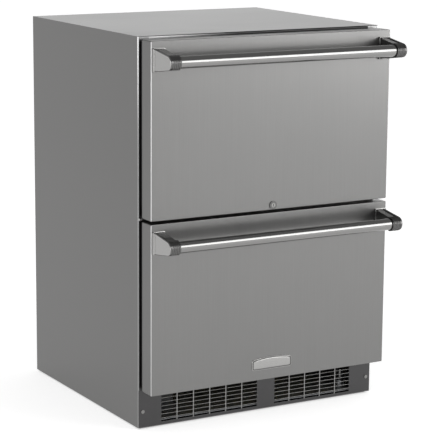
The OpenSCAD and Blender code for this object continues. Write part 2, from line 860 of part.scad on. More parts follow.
// Pressed cover over the evaporator with a guarded fan outlet and return slots
module evaporator_cover() {
  x = liner_half - 5;
  z0 = z_step + 4;
  z1 = z_ceiling - 4;
  guard_r = evap_fan_r + 2;
  rings = 4;
  color("gainsboro") {
    difference() {
      slab([-x, y_evap_cover, z0], [x, y_liner, z1]);
      slab([-x + sheet, y_evap_cover + sheet, z0 + sheet], [x - sheet, y_liner + 1, z1 - sheet]);
      along_y(y_evap_cover - 1, sheet + 2) translate([0, evap_fan_z]) circle(r = guard_r);
      along_y(y_evap_cover - 1, sheet + 2)
        for (i = [-7 : 7])
          round_rect([i * 30 - 10, z0 + 16], [i * 30 + 10, z0 + 22], 2.9);
    }
    along_y(y_evap_cover, sheet) {
      for (i = [1 : rings - 1])
        translate([0, evap_fan_z]) difference() {
          circle(r = i * guard_r / rings + 1);
          circle(r = i * guard_r / rings - 1);
        }
      for (a = [45, 135])
        translate([0, evap_fan_z]) rotate(a) square([2 * guard_r + 2, 3], center = true);
    }
  }
}

module evaporator_fan_motor() {
  color("slategray") {
    y_rod(0, y_evap + 20, y_liner, evap_fan_z, 16);
    y_rod(0, y_evap_cover + 4, y_evap + 20, evap_fan_z, 3);
  }
}

module evaporator_fan_blade() {
  color([0.2, 0.2, 0.22]) translate([0, y_evap_cover + 6 + evap_hub_h / 2, evap_fan_z])
    fan_wheel(evap_fan_r / 4, evap_fan_r - 2, evap_hub_h, 3, 5);
}

// Housing of the main board, under the compartment's floor
module control_box() {
  x = -half_w + 40;
  y = leg_y_front + 62;
  lid = 4;
  color("whitesmoke") {
    slab([x, y, pan_top], [x + ctrl_x, y + ctrl_y, pan_top + ctrl_z]);
    slab([x - lid, y - lid, pan_top + ctrl_z], [x + ctrl_x + lid, y + ctrl_y + lid, pan_top + ctrl_z + lid]);
  }
}

// Touch panel and light under the liner's ceiling
module control_panel() {
  x = touch_x / 2;
  y = y_flange + touch_front;
  rim_x = touch_x / 20;
  rim_y = 0.15 * touch_y;
  color(dark) {
    slab([-x, y, z_ceiling - touch_t], [x, y + touch_y, z_ceiling]);
    slab([rim_x - x, y + rim_y, z_ceiling - touch_t - 1],
      [x - rim_x, y + touch_y - rim_y, z_ceiling - touch_t]);
  }
}

module interior_light() {
  y = y_flange + touch_front + touch_y + light_gap;
  color("white") along_x(-light_x / 2, light_x)
    round_rect([y, z_ceiling - light_t], [y + light_y, z_ceiling], 3);
}

// ---- legs ----

// Levelling leg: threaded stem, hexagon and pad
module leg(x, y) {
  color("gray") translate([x, y, 0]) {
    cylinder(h = pad_t - 1, r = pad_r);
    translate([0, 0, pad_t - 1]) cylinder(h = 1, r = pad_r - 2);
    translate([0, 0, pad_t]) cylinder(h = pan_floor - 0.3 - pad_t, r = stem_r + 4, $fn = 6);
    cylinder(h = pan_top + nut_h + leg_travel, r = stem_r);
  }
}

module front_left_leg() leg(-half_w + leg_in, leg_y_front);
module front_right_leg() leg(half_w - leg_in, leg_y_front);
module rear_left_leg() leg(-half_w + leg_in, leg_y_rear);
module rear_right_leg() leg(half_w - leg_in, leg_y_rear);

// ---- telescopic slides ----

// Upper and lower half alike
module up_and_down() {
  children();
  mirror([0, 1]) children();
}

// Ball grooves of one stage
module grooves(x, z) {
  up_and_down() translate([x, z]) circle(r = groove_r, $fn = 24);
}

// Channel fixed to the liner, with lips that keep the balls in
module outer_section() {
  h = slide_h / 2;
  deep = slide_t - 1.7;
  difference() {
    union() {
      translate([0, -h]) square([race_t, slide_h]);
      up_and_down() translate([0, h - member_t - 0.4]) square([deep, member_t + 0.4]);
      up_and_down() translate([deep - race_t, outer_ball_z - 0.6]) square([race_t, ball_r + member_t + 0.6]);
    }
    grooves(outer_ball_x, outer_ball_z);
  }
}

// Middle channel, which runs in the outer one and carries the inner one
mid_web_x = race_t + race_gap;
mid_top = outer_ball_z - ball_r + 0.1;
mid_low = inner_ball_z + ball_r - 0.2;
module middle_section() {
  difference() {
    union() {
      translate([mid_web_x, -mid_top]) square([race_t, 2 * mid_top]);
      up_and_down() translate([mid_web_x, mid_low]) square([slide_t - 1.7 - mid_web_x, mid_top - mid_low]);
    }
    grooves(outer_ball_x, outer_ball_z);
    grooves(inner_ball_x, inner_ball_z);
  }
}

// Inner channel, fixed to the bin
inner_top = inner_ball_z - ball_r + 0.2;
module inner_section() {
  x0 = mid_web_x + race_t + 1.6;
  difference() {
    union() {
      translate([slide_t - race_t, -inner_top]) square([race_t, 2 * inner_top]);
      up_and_down() translate([x0, inner_top - member_t]) square([slide_t - x0, member_t]);
    }
    grooves(inner_ball_x, inner_ball_z);
  }
}

// One member, left and right, at height z
module slide_pair(z) {
  both_sides() translate([-liner_half, 0, z]) along_y(y_slide, slide_len) children();
}

// Ball cage of one stage: a thin channel with a row of balls in each flange
module cage_pair(z, web_x, ball_x, ball_z) {
  pitch = (cage_len - 20) / (balls - 1);
  both_sides() translate([-liner_half, 0, z]) {
    along_y(cage_y, cage_len) {
      translate([web_x, -ball_z]) square([cage_t, 2 * ball_z]);
      up_and_down() translate([web_x, ball_z - cage_t / 2])
        square([ball_x + ball_r + 0.4 - web_x, cage_t]);
    }
    for (i = [0 : balls - 1])
      for (s = [-1, 1])
        translate([ball_x, cage_y + 10 + i * pitch, s * ball_z]) sphere(r = ball_r, $fn = 24);
  }
}

module outer_cages(z) {
  color("goldenrod") cage_pair(z, race_t + (race_gap - cage_t) / 2, outer_ball_x, outer_ball_z);
}

module inner_cages(z) {
  color("goldenrod") cage_pair(z, mid_web_x + race_t + 0.5, inner_ball_x, inner_ball_z);
}

module upper_slide_outer_members() color("silver") slide_pair(z_upper_slide) outer_section();
module upper_slide_middle_members() color("gainsboro") slide_pair(z_upper_slide) middle_section();
module upper_slide_inner_members() color("silver") slide_pair(z_upper_slide) inner_section();
module upper_outer_ball_cages() outer_cages(z_upper_slide);
module upper_inner_ball_cages() inner_cages(z_upper_slide);
module lower_slide_outer_members() color("silver") slide_pair(z_lower_slide) outer_section();
module lower_slide_middle_members() color("gainsboro") slide_pair(z_lower_slide) middle_section();
module lower_slide_inner_members() color("silver") slide_pair(z_lower_slide) inner_section();
module lower_outer_ball_cages() outer_cages(z_lower_slide);
module lower_inner_ball_cages() inner_cages(z_lower_slide);

// ---- drawers ----

// Plan of a front: square at the back, both front edges bent round
module front_plan(half, depth, r) {
  translate([-half, y_face + r]) square([2 * half, depth - r]);
  translate([-half + r, y_face]) square([2 * half - 2 * r, 2 * r]);
  for (x = [-half + r, half - r])
    translate([x, y_face + r]) circle(r = r);
}

// Side outline of a front, with its upper and lower edges bent round
module front_side_outline(z0, z1, depth, r) {
  translate([y_face + r, z0]) square([depth - r, z1 - z0]);
  translate([y_face, z0 + r]) square([2 * r, z1 - z0 - 2 * r]);
  for (z = [z0 + r, z1 - r])
    translate([y_face + r, z]) circle(r = r);
}

// Block of a front, w inside its outer faces
module front_block(z0, z1, w, depth) {
  half = front_half - w;
  translate([0, w, 0]) intersection() {
    translate([0, 0, z0 + w]) linear_extrude(height = z1 - z0 - 2 * w)
      front_plan(half, depth, front_r - w);
    along_x(-half, 2 * half) front_side_outline(z0 + w, z1 - w, depth, front_r - w);
  }
}

// Folded skin of a front, open at the back
module front_skin(z0, z1) {
  depth = front_t - back_panel_t;
  difference() {
    front_block(z0, z1, 0, depth);
    front_block(z0, z1, sheet, depth);
  }
}

module front_core(z0, z1) {
  front_block(z0, z1, sheet, front_t - back_panel_t - sheet);
}

// Moulded back of a front, with a raised middle that enters the opening
module inner_panel(z0, z1, open_lo, open_hi) {
  slab([-front_half + 0.5, y_seal - back_panel_t, z0 + 0.5], [front_half - 0.5, y_seal, z1 - 0.5]);
  along_y(y_seal, seal_t + plug_in)
    round_rect([-liner_half + plug_clear, open_lo + plug_clear],
      [liner_half - plug_clear, open_hi - plug_clear], 12);
}

// One storey of the seal: a frame of strips, w wide, whose middle line stays put
module seal_frame(z0, z1, w, y, t) {
  side = front_half - seal_inset;
  d = (seal_w - w) / 2;
  along_y(y, t) difference() {
    round_rect([-side + d, z0 + d], [side - d, z1 - d], 6);
    round_rect([-side + d + w, z0 + d + w], [side - d - w, z1 - d - w], 4);
  }
}

// Magnetic seal: base, narrow bellows and magnet strip, each lapping a little into the next
module gasket(z0, z1) {
  t = seal_t - seal_air;
  lap = 0.05 * t;
  seal_frame(z0, z1, seal_w, y_seal, 0.25 * t);
  seal_frame(z0, z1, 0.6 * seal_w, y_seal + 0.25 * t - lap, 0.2 * t + 2 * lap);
  seal_frame(z0, z1, 0.9 * seal_w, y_seal + 0.45 * t, 0.1 * t);
  seal_frame(z0, z1, 0.6 * seal_w, y_seal + 0.55 * t - lap, 0.15 * t + 2 * lap);
  seal_frame(z0, z1, seal_w, y_seal + 0.7 * t, 0.3 * t);
}

// Tubular bar between its two posts
handle_half = front_half - post_inset;
bar_half = handle_half - collar_len;
spigot = 12;
module handle_bar(z) {
  color(steel) difference() {
    x_rod(-bar_half, bar_half, y_bar, z, bar_r);
    x_rod(-bar_half - 1, bar_half + 1, y_bar, z, bar_r - bar_wall);
  }
}

// Turned band of a post's head with four grooves and a bevelled mouth, drawn along +Z
module post_head() {
  grooves = 4;
  groove = 1.1;
  pitch = band_len / (grooves + 0.7);
  rotate_extrude($fn = 64) difference() {
    union() {
      translate([0, 1]) square([collar_r, band_len - 1]);
      square([collar_r - 1, 2]);
    }
    for (i = [1 : grooves])
      translate([collar_r, i * pitch]) circle(r = groove, $fn = 24);
  }
}

// Thin slice across an arm at x: a strip on the foot and a disc round the bar's axis, w inside
module arm_slice(x, z, r, w) {
  slice = 0.1;
  slab([x - slice, y_face - foot_t, z - post_h / 2 + 1 + w],
    [x, y_face - foot_t + 1, z + post_h / 2 - 1 - w]);
  x_rod(x - slice, x, y_bar, z, r - w, $fn = 32);
}

// One post: foot on the front, tapered arm, outer side flush with the head, and a spigot for the bar
module post(z) {
  x0 = bar_half;
  foot_x1 = handle_half + foot_out;
  foot_x0 = foot_x1 - post_w;
  arm_x0 = max(foot_x0, x0) + 1;
  side_x0 = x0 + band_len;
  slab([foot_x0, y_face - foot_t, z - post_h / 2], [foot_x1, y_face, z + post_h / 2]);
  hull() {
    arm_slice(arm_x0, z, collar_r - 2, 0.5);
    arm_slice(side_x0 + 1, z, collar_r - 2, 0.5);
  }
  hull() {
    arm_slice(side_x0 - 0.5, z, collar_r - 0.3, 0);
    for (a = [0 : 30 : 90])
      arm_slice(handle_half - side_edge * (1 - sin(a)), z, collar_r - 0.3, side_edge * (1 - cos(a)));
  }
  translate([x0, y_bar, z]) rotate([0, 90, 0]) post_head();
  x_rod(x0 - spigot, x0 + 1, y_bar, z, bar_r - bar_wall - 0.1);
}

module posts(z) color(steel) both_sides() post(z);

// Plan of a bin, w inside its outer walls
module bin_plan(w, r = bin_r) {
  round_rect([-bin_half + w, y_bin + w], [bin_half - w, y_bin_back - w], r);
}

// Rim folded inwards round the bin's top
module bin_rim(z1) {
  translate([0, 0, z1 - rim]) linear_extrude(height = rim) difference() {
    bin_plan(0);
    bin_plan(rim, bin_r - rim / 2);
  }
}

// Open bin with bent corners
module upper_drawer_bin() {
  color("gainsboro") {
    difference() {
      translate([0, 0, z_upper_bin]) linear_extrude(height = z_upper_rim - z_upper_bin) bin_plan(0);
      translate([0, 0, z_upper_bin + bin_wall]) linear_extrude(height = z_upper_rim - z_upper_bin)
        bin_plan(bin_wall, bin_r - bin_wall);
    }
    bin_rim(z_upper_rim);
  }
}

// The lower bin is deep in front and shallow over the machine space
module lower_bin_side(w, top) {
  polygon([[y_bin + w, z_lower_bin + w], [y_bin_step - w, z_lower_bin + w],
    [y_bin_step - w, z_lower_shelf + w], [y_bin_back - w, z_lower_shelf + w],
    [y_bin_back - w, top], [y_bin + w, top]]);
}

module lower_bin_block(w, top) {
  intersection() {
    along_x(-bin_half, 2 * bin_half) lower_bin_side(w, top);
    translate([0, 0, z_lower_bin]) linear_extrude(height = top - z_lower_bin)
      bin_plan(w, bin_r - w);
  }
}

module lower_drawer_bin() {
  color("gainsboro") {
    difference() {
      lower_bin_block(0, z_lower_rim);
      lower_bin_block(bin_wall, z_lower_rim + 1);
    }
    bin_rim(z_lower_rim);
  }
}

// ---- lock ----

// The passage of the lock through the upper front
module lock_hole() {
  y_rod(0, y_face - 1, y_seal + 1, z_lock, lock_r);
}

module lock_barrel() {
  color(steel) difference() {
    union() {
      y_rod(0, y_face, y_cam - 1, z_lock, lock_r);
      y_rod(0, y_face - lock_proud, y_face, z_lock, lock_r + 1);
    }
    y_rod(0, y_face - lock_proud - 1, y_flange, z_lock, plug_r + lock_play);
  }
}

module lock_plug() {
  color("gold") difference() {
    y_rod(0, y_face - lock_proud - 0.4, y_cam, z_lock, plug_r);
    slab([-0.6, y_face - lock_proud - 1, z_lock - 3], [0.6, y_face + 6, z_lock + 3]);
  }
}

// Cam on the plug's end, level when the drawer is free
module lock_cam() {
  w = plug_r;
  color("gray") {
    y_rod(0, y_cam, y_cam + cam_t, z_lock, w);
    slab([-cam_reach, y_cam, z_lock - w], [0, y_cam + cam_t, z_lock + w]);
  }
}

module upper_drawer_front() {
  color(steel) difference() {
    front_skin(z_upper_bot, z_upper_top);
    lock_hole();
  }
}

module upper_drawer_core() {
  color("khaki") difference() {
    front_core(z_upper_bot, z_upper_top);
    lock_hole();
  }
}

module upper_drawer_inner_panel() {
  color("white") difference() {
    inner_panel(z_upper_bot, z_upper_top, z_mull_top, z_ceiling);
    lock_hole();
  }
}

module upper_drawer_gasket() {
  color([0.1, 0.1, 0.1]) gasket(z_upper_bot + lock_band, z_upper_top - seal_inset);
}

module upper_handle_bar() handle_bar(z_upper_top - bar_drop);
module upper_handle_posts() posts(z_upper_top - bar_drop);

module lower_drawer_front() {
  color(steel) front_skin(z_lower_bot, z_lower_top);
}

module lower_drawer_core() {
  color("khaki") front_core(z_lower_bot, z_lower_top);
}

module lower_drawer_inner_panel() {
  color("white") inner_panel(z_lower_bot, z_lower_top, z_floor, z_mull_bot);
}

module lower_drawer_gasket() {
  color([0.1, 0.1, 0.1]) gasket(z_lower_bot + seal_inset, z_lower_top - seal_inset);
}

module lower_handle_bar() handle_bar(z_lower_top - bar_drop);
module lower_handle_posts() posts(z_lower_top - bar_drop);

left_side_panel();
right_side_panel();
top_panel();
rear_panel();
rear_service_cover();
base_pan();
foam_insulation();
inner_liner();
mullion();
front_rail();
kick_plate();
panel_screws();
cord_gland();
compressor();
compressor_mounts();
condenser();
condenser_fan_shroud();
condenser_fan_motor();
condenser_fan_blade();
refrigerant_lines();
drain_pan();
drain_tube();
evaporator();
evaporator_cover();
evaporator_fan_motor();
evaporator_fan_blade();
control_box();
control_panel();
interior_light();
front_left_leg();
front_right_leg();
rear_left_leg();
rear_right_leg();
upper_slide_outer_members();
upper_slide_middle_members();
upper_slide_inner_members();
upper_outer_ball_cages();
upper_inner_ball_cages();
lower_slide_outer_members();
lower_slide_middle_members();
lower_slide_inner_members();
lower_outer_ball_cages();
lower_inner_ball_cages();
upper_drawer_front();
upper_drawer_core();
upper_drawer_inner_panel();
upper_drawer_gasket();
upper_drawer_bin();
upper_handle_bar();
upper_handle_posts();
lower_drawer_front();
lower_drawer_core();
lower_drawer_inner_panel();
lower_drawer_gasket();
lower_drawer_bin();
lower_handle_bar();
lower_handle_posts();
lock_barrel();
lock_plug();
lock_cam();
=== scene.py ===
"""Undercounter drawer refrigerator: surfaces, finishes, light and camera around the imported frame.

Metres, +Z up, the drawers open towards -Y. Places and outer sizes come from the frame's boxes; the
sizes of details that a box doesn't give, such as bends, grooves and louvres, are named constants.
"""

import json
import math

import bpy
import numpy as np
from mathutils import Matrix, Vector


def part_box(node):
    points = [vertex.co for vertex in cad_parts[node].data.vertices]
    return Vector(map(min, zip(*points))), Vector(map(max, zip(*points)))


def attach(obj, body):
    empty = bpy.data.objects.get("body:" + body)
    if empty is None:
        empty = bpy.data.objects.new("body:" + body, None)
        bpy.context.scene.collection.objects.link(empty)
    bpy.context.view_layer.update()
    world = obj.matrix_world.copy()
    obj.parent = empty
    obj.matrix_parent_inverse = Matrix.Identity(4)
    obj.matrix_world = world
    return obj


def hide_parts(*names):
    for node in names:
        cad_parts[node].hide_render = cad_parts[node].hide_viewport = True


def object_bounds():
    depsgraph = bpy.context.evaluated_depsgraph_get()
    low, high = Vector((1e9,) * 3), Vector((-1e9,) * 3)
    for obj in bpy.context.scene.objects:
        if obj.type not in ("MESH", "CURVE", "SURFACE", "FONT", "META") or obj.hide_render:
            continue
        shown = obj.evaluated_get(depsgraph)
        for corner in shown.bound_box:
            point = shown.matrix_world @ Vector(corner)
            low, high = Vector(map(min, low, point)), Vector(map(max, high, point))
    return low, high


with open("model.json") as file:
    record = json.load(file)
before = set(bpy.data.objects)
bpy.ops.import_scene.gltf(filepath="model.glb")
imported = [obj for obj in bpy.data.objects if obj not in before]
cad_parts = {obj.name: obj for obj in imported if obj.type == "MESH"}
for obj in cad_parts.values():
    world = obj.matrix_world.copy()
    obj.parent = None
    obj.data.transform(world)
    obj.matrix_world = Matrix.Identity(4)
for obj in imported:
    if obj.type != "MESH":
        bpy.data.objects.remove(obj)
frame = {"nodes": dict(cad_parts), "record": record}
cad_low, cad_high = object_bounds()

MM = 0.001
TAU = 2 * math.pi


# ---- places taken from the frame ----

def span(node):
    """Lowest and highest corner of a node as two arrays."""
    low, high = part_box(node)
    return np.array(low), np.array(high)


DRAWERS = ("upper", "lower")
front_box = {d: span(d + "_drawer_front") for d in DRAWERS}
bar_box = {d: span(d + "_handle_bar") for d in DRAWERS}
post_box = {d: span(d + "_handle_posts") for d in DRAWERS}
kick_low, kick_high = span("kick_plate")
side_low, side_high = span("left_side_panel")


# ---- mesh building ----

def add_mesh(name, points, face_sets):
    """A mesh from an array of points and arrays of faces, each array with one number of corners."""
    mesh = bpy.data.meshes.new(name)
    loops = np.concatenate([f.ravel() for f in face_sets]).astype(np.int32)
    sizes = np.concatenate([np.full(len(f), f.shape[1]) for f in face_sets])
    starts = np.concatenate([[0], np.cumsum(sizes)[:-1]]).astype(np.int32)
    mesh.vertices.add(len(points))
    mesh.vertices.foreach_set("co", np.asarray(points, np.float32).ravel())
    mesh.loops.add(len(loops))
    mesh.loops.foreach_set("vertex_index", loops)
    mesh.polygons.add(len(sizes))
    mesh.polygons.foreach_set("loop_start", starts)
    mesh.update(calc_edges=True)
    mesh.validate()
    return mesh


def signed_volume(points, face_sets):
    """Sum of the tetrahedra between the origin and a fan over each face."""
    total = 0.0
    for faces in face_sets:
        for k in range(1, faces.shape[1] - 1):
            a, b, c = points[faces[:, 0]], points[faces[:, k]], points[faces[:, k + 1]]
            total += np.einsum("ij,ij->i", a, np.cross(b, c)).sum()
    return total / 6


def ladder(first, count):
    """Closes a ring of points: rung k joins point k with its opposite, count - 1 - k."""
    k = np.arange(count // 2 - 1)
    quads = np.stack([k, k + 1, count - 2 - k, count - 1 - k], axis=1)
    return first + quads


def loft_faces(rings, count, offset=0, closed=False):
    """Quads between neighbouring rings of a stack; a closed stack joins the last to the first."""
    last = rings if closed else rings - 1
    i, j = np.meshgrid(np.arange(last), np.arange(count), indexing="ij")
    i2, j2 = (i + 1) % rings, (j + 1) % count
    quads = np.stack([i * count + j, i * count + j2, i2 * count + j2, i2 * count + j], axis=-1)
    return offset + quads.reshape(-1, 4)


def solid_from_rings(stacks, closed=False):
    """Points and faces of one or more stacks of rings, each capped by a ladder or joined round."""
    points, faces, offset = [], [], 0
    for stack in stacks:
        rings, count = stack.shape[:2]
        own = [loft_faces(rings, count, 0, closed)]
        if not closed:
            own += [ladder(0, count)[:, ::-1], ladder((rings - 1) * count, count)]
        flat = stack.reshape(-1, 3)
        if signed_volume(flat, own) < 0:
            own = [f[:, ::-1] for f in own]
        points.append(flat)
        faces += [f + offset for f in own]
        offset += len(flat)
    return np.concatenate(points), faces


def face_normals_and_middles(mesh):
    """Two arrays with a row for each face."""
    normals = np.empty(3 * len(mesh.polygons), np.float32)
    middles = np.empty(3 * len(mesh.polygons), np.float32)
    mesh.polygons.foreach_get("normal", normals)
    mesh.polygons.foreach_get("center", middles)
    return normals.reshape(-1, 3), middles.reshape(-1, 3)


def piece(name, stacks, body, material, closed=False, replaces=(), crease=32):
    """A finished piece from stacks of rings: made, shaded, given its finish and put on its body."""
    points, faces = solid_from_rings(stacks, closed)
    return piece_from_faces(name, points, faces, body, material, replaces, crease)


def piece_from_faces(name, points, faces, body, material, replaces=(), crease=32):
    """A finished piece from points and arrays of faces."""
    mesh = add_mesh(name, points, faces)
    mesh.shade_smooth()
    mesh.set_sharp_from_angle(angle=math.radians(crease))
    obj = bpy.data.objects.new(name, mesh)
    bpy.context.scene.collection.objects.link(obj)
    mesh.materials.append(finish[material])
    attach(obj, body)
    if replaces:
        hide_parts(*replaces)
    return obj


# ---- outlines and profiles ----

def arc(start, end, count):
    """Angles from start to end in degrees, as radians."""
    return np.radians(np.linspace(start, end, count))


def rounded_rectangle(half_u, half_v, radius, corner=6):
    """Closed outline from four quarter circles; starts at the right of the bottom edge."""
    r = max(radius, 1e-5)
    centres = [(half_u - r, -half_v + r), (half_u - r, half_v - r),
               (-half_u + r, half_v - r), (-half_u + r, -half_v + r)]
    parts = []
    for k, (cu, cv) in enumerate(centres):
        a = arc(-90 + 90 * k, 90 * k, corner)
        parts.append(np.stack([cu + r * np.cos(a), cv + r * np.sin(a)], axis=1))
    return np.roll(np.concatenate(parts), corner, axis=0)


def circle(radius, count):
    """Closed round outline."""
    a = np.arange(count) * TAU / count
    return radius * np.stack([np.cos(a), np.sin(a)], axis=1)


def place_uv(outline, axis, along, centre):
    """Puts a flat outline square to an axis, at a height along it, about a centre."""
    u, v = [k for k in range(3) if k != axis]
    points = np.zeros((len(outline), 3))
    points[:, axis] = along
    points[:, u] = centre[u] + outline[:, 0]
    points[:, v] = centre[v] + outline[:, 1]
    return points


def lathe(profile, axis, centre, count=64):
    """Rings of a turned shape: each (along, radius) of the profile becomes a circle."""
    return np.stack([place_uv(circle(max(r, 2e-5), count), axis, a, centre) for a, r in profile])


def pan_rings(low, high, axis, profile, corner_r, corner=6):
    """Rings of a folded pan: each (inset, along) of the profile becomes a rounded rectangle."""
    u, v = [k for k in range(3) if k != axis]
    centre = (low + high) / 2
    half_u, half_v = (high[u] - low[u]) / 2, (high[v] - low[v]) / 2
    rings = []
    for inset, along in profile:
        outline = rounded_rectangle(half_u - inset, half_v - inset, corner_r - inset, corner)
        rings.append(place_uv(outline, axis, along, centre))
    return np.stack(rings)


# ---- finishes ----

def node_tree(name):
    """A new material with its tree, its shader and its object coordinates."""
    material = bpy.data.materials.new(name)
    material.use_nodes = True
    tree = material.node_tree
    shader = tree.nodes["Principled BSDF"]
    coords = tree.nodes.new("ShaderNodeTexCoord")
    return material, tree, shader, coords.outputs["Object"]


def stretched_noise(tree, coords, scale, detail=3.0, roughness=0.55):
    """Noise whose grain is scale times finer along each axis."""
    mapping = tree.nodes.new("ShaderNodeMapping")
    mapping.inputs["Scale"].default_value = scale
    noise = tree.nodes.new("ShaderNodeTexNoise")
    noise.inputs["Scale"].default_value = 1.0
    noise.inputs["Detail"].default_value = detail
    noise.inputs["Roughness"].default_value = roughness
    tree.links.new(coords, mapping.inputs["Vector"])
    tree.links.new(mapping.outputs["Vector"], noise.inputs["Vector"])
    return noise.outputs["Fac"]


def ramp_to(tree, value, socket, low, high, start=0.3, end=0.7):
    """Spreads a noise value over a range and feeds it to a socket; colours or numbers."""
    if isinstance(low, tuple):
        ramp = tree.nodes.new("ShaderNodeValToRGB")
        ramp.color_ramp.elements[0].position = start
        ramp.color_ramp.elements[1].position = end
        ramp.color_ramp.elements[0].color = (*low, 1)
        ramp.color_ramp.elements[1].color = (*high, 1)
        tree.links.new(value, ramp.inputs["Fac"])
        tree.links.new(ramp.outputs["Color"], socket)
        return
    spread = tree.nodes.new("ShaderNodeMapRange")
    spread.inputs["From Min"].default_value = start
    spread.inputs["From Max"].default_value = end
    spread.inputs["To Min"].default_value = low
    spread.inputs["To Max"].default_value = high
    tree.links.new(value, spread.inputs["Value"])
    tree.links.new(spread.outputs["Result"], socket)


def bump_from(tree, value, shader, strength, distance):
    """Bump of a given depth in metres."""
    bump = tree.nodes.new("ShaderNodeBump")
    bump.inputs["Strength"].default_value = strength
    bump.inputs["Distance"].default_value = distance
    tree.links.new(value, bump.inputs["Height"])
    tree.links.new(bump.outputs["Normal"], shader.inputs["Normal"])


def math_node(tree, operation, first, second):
    """One Math node; each input is a socket or a number."""
    node = tree.nodes.new("ShaderNodeMath")
    node.operation = operation
    for socket, value in zip(node.inputs, (first, second)):
        if isinstance(value, (int, float)):
            socket.default_value = value
        else:
            tree.links.new(value, socket)
    return node.outputs[0]


def in_zone(tree, coords, side_from, side_to, front_of):
    """1 where the distance from the middle plane is in a range and the place is in front of a Y."""
    split = tree.nodes.new("ShaderNodeSeparateXYZ")
    tree.links.new(coords, split.inputs["Vector"])
    side = math_node(tree, "ABSOLUTE", split.outputs["X"], 0.0)
    beyond = math_node(tree, "GREATER_THAN", side, side_from)
    within = math_node(tree, "LESS_THAN", side, side_to)
    ahead = math_node(tree, "LESS_THAN", split.outputs["Y"], front_of)
    return math_node(tree, "MULTIPLY", math_node(tree, "MULTIPLY", beyond, within), ahead)


def grain_value(tree, coords, grain):
    """Fine noise along the grain, and the same with a quarter of slow noise for colour and gloss."""
    fine = stretched_noise(tree, coords, grain, 4.0, 0.65)
    broad = stretched_noise(tree, coords, (3.1, 3.1, 3.1), 2.0, 0.5)
    mostly_fine = math_node(tree, "MULTIPLY", fine, 0.75)
    return fine, math_node(tree, "ADD", mostly_fine, math_node(tree, "MULTIPLY", broad, 0.25))


def brushed_metal(name, colour, grain, rough, anisotropy=0.0, depth=0.00004, patchy=0.05,
                  zones=()):
    """Metal with long scratches; zones are places of a sheet where light and shade are painted in another
    grey.
    """
    material, tree, shader, coords = node_tree(name)
    shader.inputs["Metallic"].default_value = 1.0
    shader.inputs["Anisotropic"].default_value = anisotropy
    fine, grained = grain_value(tree, coords, grain)
    low = tuple(c * (1 - patchy) for c in colour)
    high = tuple(c * (1 + patchy) for c in colour)
    ramp_to(tree, grained, shader.inputs["Base Color"], low, high)
    ramp_to(tree, grained, shader.inputs["Roughness"], rough - 0.03, rough + 0.04)
    for zone in zones:
        paint_zone(tree, coords, shader, *zone)
    bump_from(tree, fine, shader, 0.35, depth)
    return material


def paint_zone(tree, coords, shader, place, axis, shaded_at, lit_at, shaded_grey, lit_grey):
    """Paints light and shade as another grey in a zone, from its shaded to its lit grey along one axis."""
    split = tree.nodes.new("ShaderNodeSeparateXYZ")
    tree.links.new(coords, split.inputs["Vector"])
    along = tree.nodes.new("ShaderNodeMapRange")
    along.interpolation_type = "SMOOTHSTEP"
    along.inputs["From Min"].default_value = shaded_at
    along.inputs["From Max"].default_value = lit_at
    along.inputs["To Min"].default_value = shaded_grey
    along.inputs["To Max"].default_value = lit_grey
    tree.links.new(split.outputs[axis], along.inputs["Value"])
    blend = tree.nodes.new("ShaderNodeMix")
    blend.data_type = "RGBA"
    tree.links.new(in_zone(tree, coords, *place), blend.inputs["Factor"])
    tree.links.new(shader.inputs["Base Color"].links[0].from_socket, blend.inputs["A"])
    tree.links.new(along.outputs["Result"], blend.inputs["B"])
    tree.links.new(blend.outputs["Result"], shader.inputs["Base Color"])


def moulded(name, colour, rough, grain=900.0, depth=0.00005, sheen=0.0):
    """Plastic, rubber or paint with an even fine texture."""
    material, tree, shader, coords = node_tree(name)
    fine = stretched_noise(tree, coords, (grain, grain, grain), 2.0, 0.5)
    broad = stretched_noise(tree, coords, (9.0, 9.0, 9.0), 3.0, 0.6)
    low = tuple(c * 0.93 for c in colour)
    high = tuple(min(1.0, c * 1.05) for c in colour)
    ramp_to(tree, broad, shader.inputs["Base Color"], low, high)
    ramp_to(tree, broad, shader.inputs["Roughness"], rough - 0.04, rough + 0.05)
    shader.inputs["Sheen Weight"].default_value = sheen
    bump_from(tree, fine, shader, 0.4, depth)
    return material


def foam_finish(name, colour):
    """Rigid foam: closed cells of about a millimetre."""
    material, tree, shader, coords = node_tree(name)
    cells = tree.nodes.new("ShaderNodeTexVoronoi")
    cells.inputs["Scale"].default_value = 700.0
    tree.links.new(coords, cells.inputs["Vector"])
    low = tuple(c * 0.85 for c in colour)
    ramp_to(tree, cells.outputs["Distance"], shader.inputs["Base Color"], low, colour, 0.0, 0.6)
    shader.inputs["Roughness"].default_value = 0.9
    bump_from(tree, cells.outputs["Distance"], shader, 0.5, 0.0002)
    return material


def lens_finish(name, colour):
    """Milky lens with faint ribs."""
    material, tree, shader, coords = node_tree(name)
    ribs = tree.nodes.new("ShaderNodeTexWave")
    ribs.inputs["Scale"].default_value = 60.0
    ribs.inputs["Distortion"].default_value = 0.0
    tree.links.new(coords, ribs.inputs["Vector"])
    ramp_to(tree, ribs.outputs["Fac"], shader.inputs["Base Color"], tuple(c * 0.94 for c in colour), colour)
    shader.inputs["Roughness"].default_value = 0.3
    shader.inputs["Subsurface Weight"].default_value = 0.3
    shader.inputs["Subsurface Radius"].default_value = (0.004, 0.004, 0.004)
    bump_from(tree, ribs.outputs["Fac"], shader, 0.3, 0.0002)
    return material
